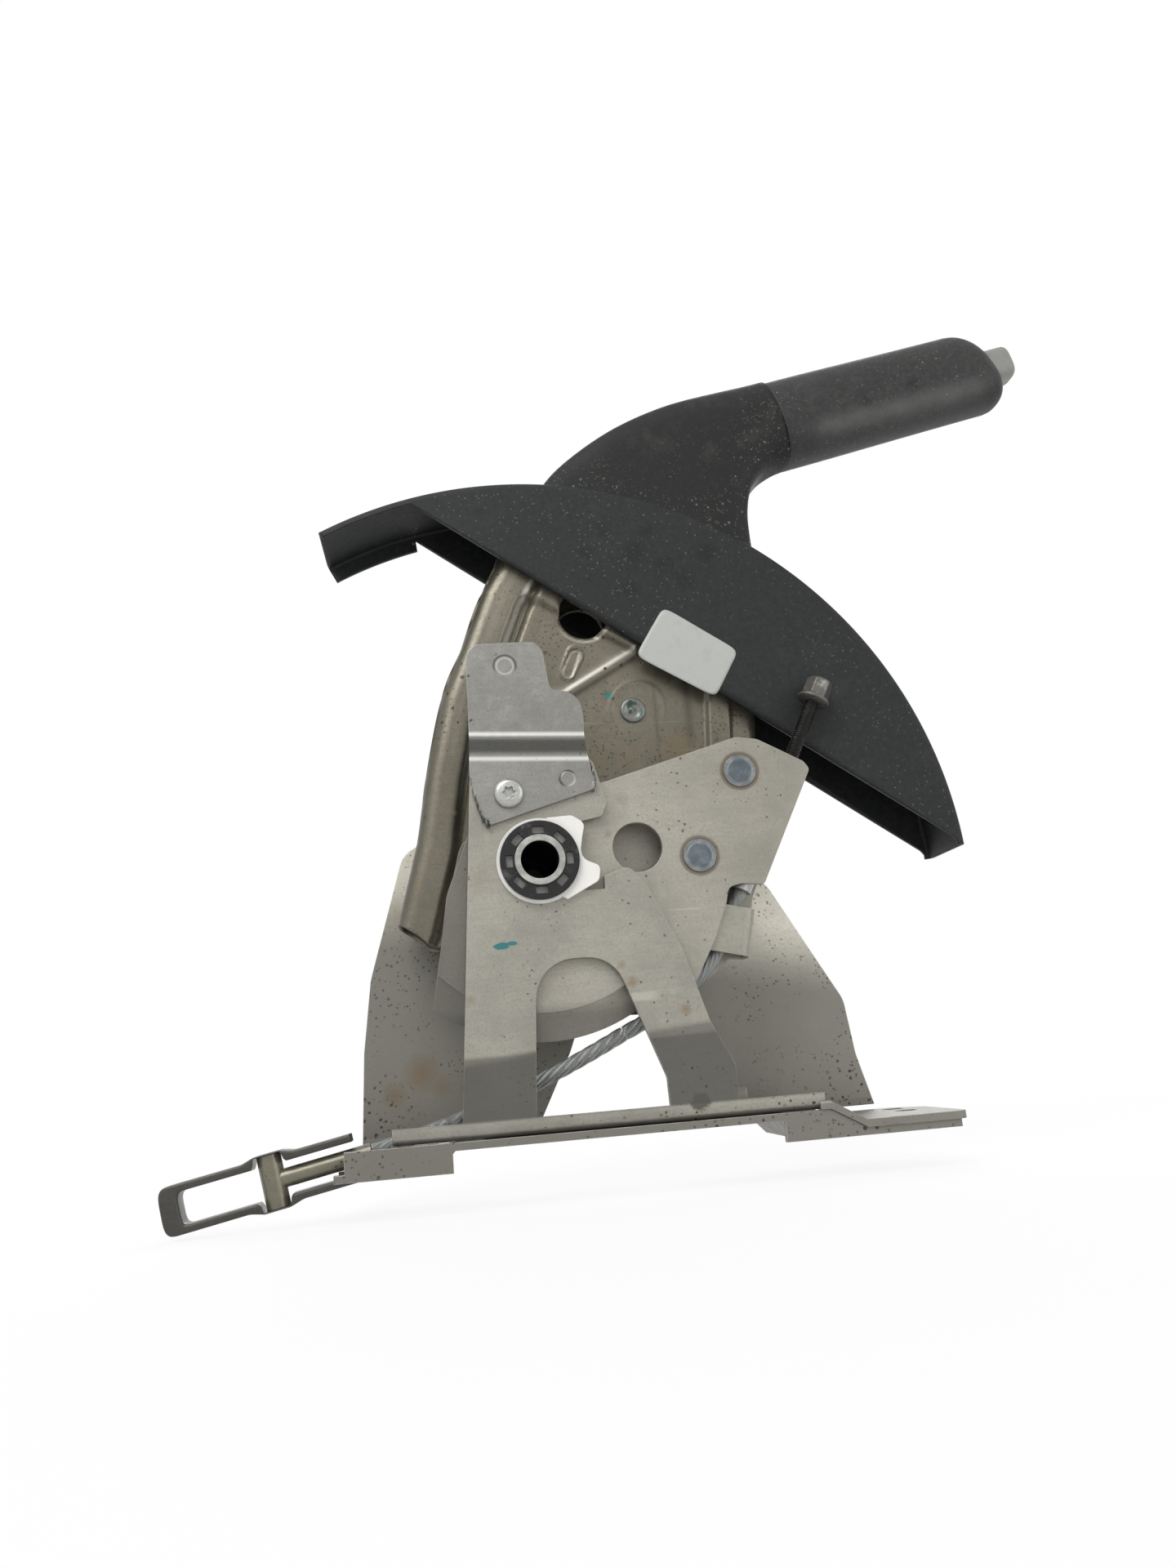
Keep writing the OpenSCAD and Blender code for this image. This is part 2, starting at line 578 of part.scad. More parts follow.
// Rear plate of the cable sector, with the folded tab that keeps the cable in
tab_turn = -13.6;
tab_u = 90.5;
tab_u0 = 73;
tab_top = -3;
tab_w = 19.4;
tab_t = (groove_w - cable_d) / 2 - 2 * fit;
tab_y = sector_y1 + fit;
tab_back = sector_rear_y + sector_rear_t;
// Corner of the rear plate's outline at the tab, from u across and w along it
function at_tab(u, w, r) = concat(
    u * [cos(tab_turn), sin(tab_turn)] + w * [-sin(tab_turn), cos(tab_turn)], r);
lug_t = 3;
module sector_rear_plate() color(steel) at_pivot() difference() {
    union() {
        sheet(sector_rear_y, sector_rear_t) polygon(rounded([[-30, 14, 10], [20, 26, 10], [94, 45, 8],
            [113, 35.5, 2], [114, 32, 2.5], at_tab(tab_u, 4, 3), at_tab(tab_u, tab_top - tab_w, 0.5),
            [76, -42.5, 2], [61, -54.5, 12], [38, -62, 10], [-20, -60, 20], [-40, -42, 8], [-36, -8, 14]]));
        keeper_tab();
        axis_lug();
    }
    bar([0, 0], sector_rear_y - 1, sector_rear_y + 9, tube_r + fit);
    for (p = rivet_at) bar(p, sector_rear_y - 1, sector_rear_y + 9, rivet_d / 2 + fit);
    on_axis(nut_s - 30) cylinder(d = bolt_d + 0.8, h = 60);
}
// Tab folded forward over the cable, up to the back of the front plate
module keeper_tab() rotate([0, -tab_turn, 0]) translate([0, 0, tab_top - tab_w]) linear_extrude(tab_w)
    polygon(rounded([[tab_u - 6, tab_back, 0], [tab_u, tab_back, 2], [tab_u, tab_y, 4], [tab_u0, tab_y, 0],
        [tab_u0, tab_y + tab_t, 0], [tab_u - tab_t, tab_y + tab_t, 2.2], [tab_u - tab_t, sector_rear_y, 0],
        [tab_u - 6, sector_rear_y, 0]]));
// Folded lug that carries the adjuster nut
module axis_lug() on_axis(nut_s - lug_t) translate([-groove_w / 2, -groove_w / 2 + 0.8, 0])
    cube([groove_w, groove_w + 0.2, lug_t]);

// Inner face of the front shell's recessed panel
panel_in = -lever_half + panel_drop + shell_t;
module sector_rivets() color([0.45, 0.48, 0.51]) at_pivot() for (p = rivet_at) {
    bar(p, sector_y0 - rivet_head_h, sector_y0, rivet_head_d / 2);
    bar(p, sector_y0, panel_in + rivet_tail, rivet_d / 2);
    bar(p, sector_y1, sector_rear_y, rivet_d / 2 + 2);
    bar(p, sector_rear_y + sector_rear_t, panel_in - shell_t, rivet_d / 2 + 2);
    bar(p, panel_in, panel_in + rivet_tail, rivet_head_d / 2);
}

module adjuster_nut() color(zinc) at_pivot() on_axis(nut_s) difference() {
    cylinder(d = (groove_w - 1) / cos(30), h = 5, $fn = 6);
    translate([0, 0, -1]) cylinder(d = bolt_d + 2 * fit, h = 7);
}
bolt_flange_t = 1.6;
bolt_head_h = 9.2;
module adjuster_bolt() color([0.2, 0.19, 0.18]) at_pivot() {
    on_axis(ferrule_s + 14) cylinder(d = bolt_d, h = head_s - ferrule_s - 13);
    on_axis(head_s) cylinder(d = bolt_flange_d, h = bolt_flange_t);
    on_axis(head_s + bolt_flange_t / 2) cylinder(d = bolt_af / cos(30), h = bolt_head_h, $fn = 6);
}
module cable_ferrule() color(zinc) at_pivot() on_axis(ferrule_s) difference() {
    cylinder(d = ferrule_d, h = 26);
    translate([0, 0, -1]) cylinder(d = cable_d + 0.4, h = 11);
    translate([0, 0, 12]) cylinder(d = bolt_d + 2 * fit, h = 20);
}

// Cable: round the sector, along its free run, and the swaged end
function wrap_radius(t) = cable_r + (axis_off - cable_r) * t * t * (3 - 2 * t);
wrap_path = concat(
    [for (i = [0:10]) let (t = i / 10, a = run_angle + (wrap_end - run_angle) * t)
        wrap_radius(t) * [cos(a), sin(a)]],
    [for (s = [8, 16, ferrule_s + 9.5]) axis_off * [cos(wrap_end), sin(wrap_end)]
        + s * [cos(axis_slope), sin(axis_slope)]]);
module cable_wrap() color([0.66, 0.68, 0.67]) at_pivot() sweep(wrap_path, cable_y, cable_d / 2);
module cable_run() color([0.66, 0.68, 0.67]) at_pivot() sweep(run_path, cable_y, cable_d / 2);
// Swaged shank and cross barrel
shank_slope = atan2(run_end[1] - barrel_at[1], run_end[0] - barrel_at[0]);
module cable_end() color(zinc) at_pivot() {
    translate([barrel_at[0], cable_y, barrel_at[1]]) rotate([0, 90 - shank_slope, 0])
        cylinder(d = shank_d, h = norm(run_end - barrel_at) - air);
    translate([barrel_at[0], cable_y, barrel_at[1]]) rotate([0, -link_slope, 0])
        cylinder(d = barrel_d, h = barrel_len, center = true);
}
// Strap link: closed at the outer end, with sockets for the barrel
link_out = 41;
link_len = 72;
module cable_link() color(steel) at_pivot() translate([barrel_at[0], cable_y, barrel_at[1]])
    rotate([0, -link_slope, 0]) difference() {
        union() {
            sheet(-link_w / 2, link_w) difference() {
                translate([-link_out, -link_gap / 2 - link_t]) square([link_len, link_gap + 2 * link_t]);
                translate([-link_out + link_t, -link_gap / 2]) square([link_len, link_gap]);
            }
            for (s = [-1, 1]) translate([0, 0, s * (link_gap / 2 + link_t + 0.5)])
                cylinder(d = barrel_d + 2, h = 3, center = true);
        }
        cylinder(r = barrel_d / 2 + link_clear, h = barrel_len + 20, center = true);
    }

// Cover, handle and grip

cover_c = [1, -10];
chord_from = [-44, 166.3];
chord_to = [187.3, -1.6];
chord_slope = atan2(chord_to[1] - chord_from[1], chord_to[0] - chord_from[0]);
// Point on the grip's outline at s along its axis and h above it
function grip_at(s, h) = [grip_x + s * cos(grip_slope) - h * sin(grip_slope),
    grip_z + s * sin(grip_slope) + h * cos(grip_slope)];
grip_s = 5;
// Sharp corner of the neck below the cover's arc, at a depth under it and an angle round its centre
function under_arc(depth, a) = concat(cover_c + (cover_r - depth) * [cos(a), sin(a)], 0);
neck_outline = rounded([under_arc(10, 87.7), [22, 186, 20], [74, 217, 60],
    concat(grip_at(grip_s - air, grip_h / 2), 0), concat(grip_at(grip_s - air, -grip_h / 2), 0),
    [119, 182, 8], [110, 166, 14], under_arc(6, 52.6), under_arc(14, 69.8)]);
// Drawing of the cover's half-moon side: under the arc and above the chord
module half_moon() intersection() {
    translate(cover_c) circle(r = cover_r, $fn = 180);
    translate(chord_from) rotate(chord_slope) translate([-60, 0]) square([420, 200]);
    translate([-44.5, -2]) square([260, 240]);
}
module arc_band(r0, r1) intersection() {
    translate(cover_c) difference() {
        circle(r = r1, $fn = 180);
        circle(r = r0, $fn = 180);
    }
    polygon(concat([cover_c], arc(cover_c, cover_r * 1.2, 2.8, 117.5, 12)));
}
module cover() color(black) at_pivot() difference() {
    union() {
        sheet(-cover_w / 2, cover_wall) half_moon();
        sheet(cover_w / 2 - cover_wall, cover_wall) half_moon();
        sheet(-cover_w / 2, cover_w) arc_band(cover_r - cover_wall - 0.5, cover_r);
        sheet(cover_w / 2 - cover_wall, cover_wall) intersection() {
            arc_band(cover_r - wing_lip, cover_r);
            translate([wing_x - cover_r, 0]) square(cover_r);
        }
        sheet(-neck_half, 2 * neck_half) difference() {
            polygon(neck_outline);
            translate(cover_c) circle(r = cover_r - 1, $fn = 180);
        }
    }
    sheet(-lever_half - air, 2 * (lever_half + air)) offset(delta = air) lever_outline(lever_foot);
    on_grip(-60) cylinder(d = handle_d + 0.6, h = 90);
}
neck_half = 18;
// Rear lip of the cover beyond its half-moon side: where it starts and how deep it is
wing_x = -40;
wing_lip = 9.2;
// Handle tube with a crimp that the button spring stands on
module handle_tube() color(steel) at_pivot() difference() {
    on_grip(-14) cylinder(d = handle_d, h = grip_len + 8);
    on_grip(-15) cylinder(d = handle_bore_d, h = spring_s - 3 + 15);
    on_grip(spring_s) cylinder(d = handle_bore_d, h = grip_len);
    on_grip(-15) cylinder(d = rod_d + 4, h = grip_len);
}
// Oval grip with a rounded end
module grip() color([0.16, 0.16, 0.16]) at_pivot() difference() {
    on_grip(grip_s) union() {
        scale_section() cylinder(d = grip_h, h = grip_len - grip_s - end_round);
        translate([0, 0, grip_len - grip_s - end_round]) hull() {
            scale_section() cylinder(d = grip_h, h = eps, $fn = 48);
            translate([0, 0, end_round * 0.6]) scale_section() cylinder(d = grip_h - 6, h = eps, $fn = 48);
            translate([0, 0, end_round]) scale_section() cylinder(d = grip_h - 18, h = eps, $fn = 48);
        }
    }
    on_grip(-20) cylinder(d = handle_d + 2 * fit, h = grip_len + 60);
}
end_round = 12;
module scale_section() resize([grip_h, grip_w, 0]) children();

module pawl_pin() color(zinc) at_pivot() {
    bar(pawl_at, -lever_half + panel_drop - 1.2, lever_half - panel_drop + 1.2, pawl_pin_d / 2);
    for (s = [-1, 1]) bar(pawl_at, s * (lever_half - panel_drop + 0.6) - 0.6,
        s * (lever_half - panel_drop + 0.6) + 0.6, pawl_head_d / 2);
}
// Button at the grip's end
button_in = 24;
button_dome = 3;
button_r = handle_bore_d / 2 - button_clear;
module release_button() color([0.55, 0.55, 0.54]) at_pivot() on_grip(grip_len - button_in) {
    cylinder(r = button_r, h = button_in + button_out - button_dome);
    translate([0, 0, button_in + button_out - button_dome]) intersection() {
        cylinder(r = button_r, h = button_dome);
        translate([0, 0, button_dome - button_r * 2.2]) sphere(r = button_r * 2.2);
    }
}
// Rod from the button down to the pawl's upper arm
rod_reach = [[61.8, 86], [76.4, 150], [94, 188], [104, 199]];
rod_top = grip_at(grip_len - button_in, 0);
module release_rod() color(zinc) at_pivot()
    sweep(concat(rod_reach, [[grip_x, grip_z], rod_top]), 0, rod_d / 2, 12);
// Coil spring behind the button
spring_turns = 7;
spring_len = 34;
spring_s = grip_len - button_in - spring_len;
module button_spring() color(zinc) at_pivot() on_grip(spring_s) {
    steps = spring_turns * 12;
    coil_r = 6.6;
    wire = 0.7;
    pts = [for (i = [0:steps], k = [0:5]) let (a = 30 * i, b = 60 * k)
        [(coil_r + wire * cos(b)) * cos(a), (coil_r + wire * cos(b)) * sin(a),
            wire + (spring_len - 2 * wire) * i / steps + wire * sin(b)]];
    walls = [for (i = [0:steps - 1], k = [0:5]) let (k2 = (k + 1) % 6)
        [i * 6 + k, i * 6 + k2, (i + 1) * 6 + k2, (i + 1) * 6 + k]];
    polyhedron(pts, concat(walls, [[5, 4, 3, 2, 1, 0]], [[for (k = [0:5]) steps * 6 + k]]), convexity = 8);
}
// Pawl: tip over the teeth, upper arm beside the rod
pawl_tip = (ratchet_r + 0.4) * [cos(ratchet_a0 + 2), sin(ratchet_a0 + 2)];
module pawl() color(steel) at_pivot() difference() {
    sheet(-pawl_t / 2, pawl_t) polygon(rounded([
        concat(pawl_tip, 0.5), concat(pawl_tip + [7, 1], 2), concat(pawl_at + [9, 0], 6),
        concat(pawl_at + [6, 20], 2), concat(pawl_at + [-1, 20], 2), concat(pawl_at + [-7, 4], 5),
        concat(pawl_at + [-4, -9], 4), concat(pawl_tip + [-2, 10], 3)]));
    bar(pawl_at, -pawl_t, pawl_t, pawl_pin_d / 2 + 0.06);
}

front_bracket();
rear_bracket();
switch_plate();
switch_plate_screw();
pivot_bush_front();
pivot_bush_rear();
ratchet_sector();
ratchet_rivets();
lever_shell_front();
lever_shell_rear();
pivot_tube();
push_rings();
sector_front_plate();
sector_rear_plate();
sector_rivets();
adjuster_nut();
adjuster_bolt();
cable_ferrule();
cable_wrap();
cover();
handle_tube();
grip();
pawl_pin();
release_button();
release_rod();
button_spring();
pawl();
cable_run();
cable_end();
cable_link();
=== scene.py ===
"""Looks of a car parking brake lever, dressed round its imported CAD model.

The solids come from the frame, in metres. Pressed, moulded and stranded pieces are
numpy surfaces that stand where their CAD nodes are, and every surface gets a node material.
"""
import json
import math

import bmesh
import bpy
import numpy as np
from bpy.props import FloatProperty, FloatVectorProperty, IntProperty, PointerProperty
from mathutils import Matrix, Vector


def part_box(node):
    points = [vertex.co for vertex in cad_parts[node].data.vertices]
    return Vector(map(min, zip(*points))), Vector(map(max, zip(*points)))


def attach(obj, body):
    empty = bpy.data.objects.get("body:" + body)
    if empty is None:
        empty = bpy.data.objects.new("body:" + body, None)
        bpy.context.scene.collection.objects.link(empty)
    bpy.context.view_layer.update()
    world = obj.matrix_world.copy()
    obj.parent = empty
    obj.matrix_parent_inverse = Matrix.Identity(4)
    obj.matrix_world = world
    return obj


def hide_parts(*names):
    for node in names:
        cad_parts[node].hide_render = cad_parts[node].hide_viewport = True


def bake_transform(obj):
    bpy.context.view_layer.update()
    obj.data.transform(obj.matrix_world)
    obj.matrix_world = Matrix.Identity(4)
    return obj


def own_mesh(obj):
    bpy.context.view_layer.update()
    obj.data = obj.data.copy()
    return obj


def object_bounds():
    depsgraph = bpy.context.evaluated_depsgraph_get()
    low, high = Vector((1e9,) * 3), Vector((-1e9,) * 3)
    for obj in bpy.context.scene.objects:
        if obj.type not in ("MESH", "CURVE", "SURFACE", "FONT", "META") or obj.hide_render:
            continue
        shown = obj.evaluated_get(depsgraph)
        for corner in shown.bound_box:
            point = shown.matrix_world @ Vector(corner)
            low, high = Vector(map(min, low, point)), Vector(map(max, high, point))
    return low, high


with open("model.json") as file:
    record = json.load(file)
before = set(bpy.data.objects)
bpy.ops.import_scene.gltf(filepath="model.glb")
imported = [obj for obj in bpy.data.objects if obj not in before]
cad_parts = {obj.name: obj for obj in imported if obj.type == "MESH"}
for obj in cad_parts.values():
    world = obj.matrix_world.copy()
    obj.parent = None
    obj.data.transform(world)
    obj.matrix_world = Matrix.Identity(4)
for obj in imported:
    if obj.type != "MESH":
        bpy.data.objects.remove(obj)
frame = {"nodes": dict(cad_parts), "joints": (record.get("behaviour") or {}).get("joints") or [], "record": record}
CAD_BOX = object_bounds()

bl_info = {
    "name": "Parking brake lever",
    "version": (1, 0, 0),
    "blender": (4, 5, 0),
    "location": "View3D > Sidebar > Brake lever",
    "description": "Dresses a parking brake lever: pressed steel, moulded cover, grip and wire rope",
    "category": "Object",
}

MM = 0.001
JOINTS = {joint["name"]: joint for joint in frame["joints"]}
PIVOT = np.array(JOINTS["lever_pull"]["pos_m"])
CABLE_Y = JOINTS["link_swing"]["pos_m"][1] / MM
# Straight line of the adjuster bolt and line of the grip, in mm from the pivot
BOLT_FOOT = np.array([71.36, -36.84])
BOLT_SLOPE = math.radians(62.7)
GRIP_FOOT = np.array([125.5, 208.7])
GRIP_SLOPE = math.radians(14.5)


# Sizes and colours that a user would change

class BrakeSizes(bpy.types.PropertyGroup):
    """Sizes of the dressed pieces, in metres"""
    cover_fillet: FloatProperty(
        name="Cover edge", description="Radius of the cover's outer edges",
        default=0.0032, unit="LENGTH")
    cover_wall: FloatProperty(
        name="Cover wall", description="Wall of the cover and the neck",
        default=0.0020, unit="LENGTH")
    grip_height: FloatProperty(
        name="Grip height", description="Height of the grip's section at the neck",
        default=0.0420, unit="LENGTH")
    grip_width: FloatProperty(
        name="Grip width", description="Width of the grip's section",
        default=0.0360, unit="LENGTH")
    rope_diameter: FloatProperty(
        name="Rope", description="Diameter of the wire rope",
        default=0.0060, unit="LENGTH")
    rope_lay: FloatProperty(
        name="Rope lay", description="Length of one turn of the rope's strands",
        default=0.0360, unit="LENGTH")
    rope_strands: IntProperty(
        name="Strands", description="Outer strands of the rope", default=6, min=4, max=9)
    rib_height: FloatProperty(
        name="Rib height", description="Height of the lever's pressed ribs over its panel",
        default=0.0030, unit="LENGTH")
    shell_sheet: FloatProperty(
        name="Lever sheet", description="Sheet thickness of the lever",
        default=0.0016, unit="LENGTH")
    thread_pitch: FloatProperty(
        name="Thread pitch", description="Pitch of the adjuster bolt's thread",
        default=0.0010, unit="LENGTH")


class BrakeColours(bpy.types.PropertyGroup):
    """Base colours of the finishes"""
    bracket: FloatVectorProperty(
        name="Bracket", description="Dull zinc of the brackets",
        default=(0.308, 0.296, 0.254), subtype="COLOR")
    lever: FloatVectorProperty(
        name="Lever", description="Slightly golden zinc of the lever",
        default=(0.142, 0.130, 0.098), subtype="COLOR")
    bright: FloatVectorProperty(
        name="Bright zinc", description="Screw, cable end and hidden hardware",
        default=(0.42, 0.42, 0.40), subtype="COLOR")
    cover: FloatVectorProperty(
        name="Cover", description="Anthracite plastic of the cover",
        default=(0.0112, 0.0124, 0.0124), subtype="COLOR")
    grip: FloatVectorProperty(
        name="Grip", description="Soft plastic of the grip",
        default=(0.0235, 0.0238, 0.0230), subtype="COLOR")
    button: FloatVectorProperty(
        name="Button", description="Grey plastic of the release button",
        default=(0.235, 0.235, 0.222), subtype="COLOR")
    bush: FloatVectorProperty(
        name="Bush", description="White plastic of the pivot bush",
        default=(0.80, 0.79, 0.75), subtype="COLOR")
    rust: FloatVectorProperty(
        name="Rust", description="Rust specks and stains",
        default=(0.190, 0.120, 0.050), subtype="COLOR")


# Node materials

# Radius over which sharp edges are shaded round, colour of the paint dabs, and places of the sector's rivets
EDGE = 0.0005
TEAL = (0.012, 0.16, 0.17)
RIVETS = [(86.0, 33.3), (65.6, -1.0)]


class Finish:
    """Short hand for building one node material on Object coordinates"""

    def __init__(self, name):
        """Material with a Principled shader and nothing else"""
        self.mat = bpy.data.materials.new(name)
        self.mat.use_nodes = True
        self.tree = self.mat.node_tree
        self.tree.nodes.clear()
        self.out = self.node("ShaderNodeOutputMaterial")
        self.bsdf = self.node("ShaderNodeBsdfPrincipled")
        self.tree.links.new(self.bsdf.outputs[0], self.out.inputs[0])
        self.here = self.node("ShaderNodeTexCoord").outputs["Object"]

    def node(self, kind, sockets=None, **settings):
        """New node with its settings; sockets says what goes into which input"""
        made = self.tree.nodes.new(kind)
        for key, value in settings.items():
            setattr(made, key, value)
        for key, value in (sockets or {}).items():
            self.put(made.inputs[key], value)
        return made

    def put(self, socket, value):
        """Links a socket or sets a constant"""
        if isinstance(value, bpy.types.NodeSocket):
            self.tree.links.new(value, socket)
        elif hasattr(value, "__len__") and len(value) == 3 and socket.type == "RGBA":
            socket.default_value = (*value, 1.0)
        else:
            socket.default_value = value

    def moved(self, scale=(1, 1, 1), turn=(0, 0, 0), source=None):
        """Coordinates scaled along each axis and turned"""
        sockets = {"Vector": source or self.here, "Scale": scale, "Rotation": turn}
        return self.node("ShaderNodeMapping", sockets).outputs[0]

    def noise(self, scale, detail=3.0, rough=0.55, source=None, output=0):
        """Cloud noise, scale in clouds per metre; output 1 is its colour"""
        sockets = {"Vector": source or self.here, "Scale": scale, "Detail": detail, "Roughness": rough}
        return self.node("ShaderNodeTexNoise", sockets).outputs[output]

    def cells(self, scale, source=None):
        """Distance to the nearest scattered point, and that point's random colour"""
        made = self.node("ShaderNodeTexVoronoi", {"Vector": source or self.here, "Scale": scale})
        return made.outputs["Distance"], made.outputs["Color"]

    def ramp(self, value, low, high, to_low=0.0, to_high=1.0):
        """Smooth step of a value between two limits"""
        sockets = dict(enumerate((value, low, high, to_low, to_high)))
        return self.node("ShaderNodeMapRange", sockets, interpolation_type="SMOOTHSTEP").outputs[0]

    def math(self, operation, a, b=0.0):
        """One operation on two numbers"""
        return self.node("ShaderNodeMath", {0: a, 1: b}, operation=operation).outputs[0]

    def times(self, a, b):
        """a times b"""
        return self.math("MULTIPLY", a, b)

    def vector(self, operation, a, b, c=None):
        """One operation on two or three vectors"""
        sockets = {0: a, 1: b} if c is None else {0: a, 1: b, 2: c}
        made = self.node("ShaderNodeVectorMath", sockets, operation=operation)
        return made.outputs["Value" if operation in ("DISTANCE", "DOT_PRODUCT") else "Vector"]

    def mix(self, factor, a, b):
        """Colour a at factor 0, b at factor 1"""
        return self.node("ShaderNodeMix", {0: factor, 6: a, 7: b}, data_type="RGBA").outputs[2]

    def near(self, point, ragged=0.0, scale=300.0, squeeze=None):
        """Distance from a point in metres, with a ragged edge; squeeze weighs the three axes"""
        if squeeze is None:
            distance = self.vector("DISTANCE", self.here, point)
        else:
            weighed = tuple(p * s for p, s in zip(point, squeeze))
            distance = self.vector("DISTANCE", self.vector("MULTIPLY", self.here, squeeze), weighed)
        if not ragged:
            return distance
        wobble = self.times(self.noise(scale, 4.0, 0.7), ragged)
        return self.math("ADD", distance, wobble)

    def below(self, a, b, soft, wobble=0.0):
        """0 above the line from a to b in X and Z, 1 below it, over a soft width; mm from the pivot"""
        a, b = np.array(at(a[0], 0, a[1])), np.array(at(b[0], 0, b[1]))
        d = (b - a) / np.linalg.norm(b - a)
        down = (float(d[2]), 0.0, float(-d[0]))
        depth = self.math("SUBTRACT", self.vector("DOT_PRODUCT", self.here, down), float(a @ np.array(down)))
        if wobble:
            depth = self.math("ADD", depth, self.times(self.noise(45.0, 4.0), wobble * MM))
        return self.ramp(depth, -soft * MM / 2, soft * MM / 2)

    def specks(self, scale, share, size):
        """Scattered dots with uneven outlines: only cells whose random value is under share carry one"""
        ragged = self.noise(scale * 1.6, 3.0, 0.6, output=1)
        bent = self.vector("MULTIPLY_ADD", ragged, (0.5 / scale,) * 3, self.here)
        distance, colour = self.cells(scale, bent)
        split = self.node("ShaderNodeSeparateColor", {0: colour})
        chosen = self.math("LESS_THAN", split.outputs[0], share)
        large = self.times(split.outputs[1], size)
        dot = self.ramp(self.math("SUBTRACT", large, distance), -0.05, 0.05)
        return self.times(chosen, dot)

    def bump(self, height, distance, strength, normal=None):
        """Normal tilted by the slope of a height over a distance in metres"""
        sockets = {"Strength": strength, "Distance": distance, "Height": height}
        if normal is not None:
            sockets["Normal"] = normal
        return self.node("ShaderNodeBump", sockets).outputs[0]

    def soft_edges(self, radius):
        """Normals rounded over a small edge radius"""
        return self.node("ShaderNodeBevel", {"Radius": radius}, samples=4).outputs[0]

    def edges(self, rounded):
        """1 where the rounded normal leaves the surface's own, which is along edges"""
        own = self.node("ShaderNodeNewGeometry").outputs["Normal"]
        return self.ramp(self.vector("DOT_PRODUCT", rounded, own), 0.97, 0.86)

    def set(self, **values):
        """Sets or links the shader's sockets, spaces written as underscores"""
        for key, value in values.items():
            self.put(self.bsdf.inputs[key.replace("_", " ")], value)
        return self.mat


def tint(colour, by):
    """Colour times a number, or times one number per channel"""
    return tuple(np.minimum(np.array(colour) * by, 1.0).tolist())


def at(x, y, z):
    """Metres in the frame from millimetres measured from the pivot"""
    return tuple(PIVOT + np.array([x, y, z]) * MM)


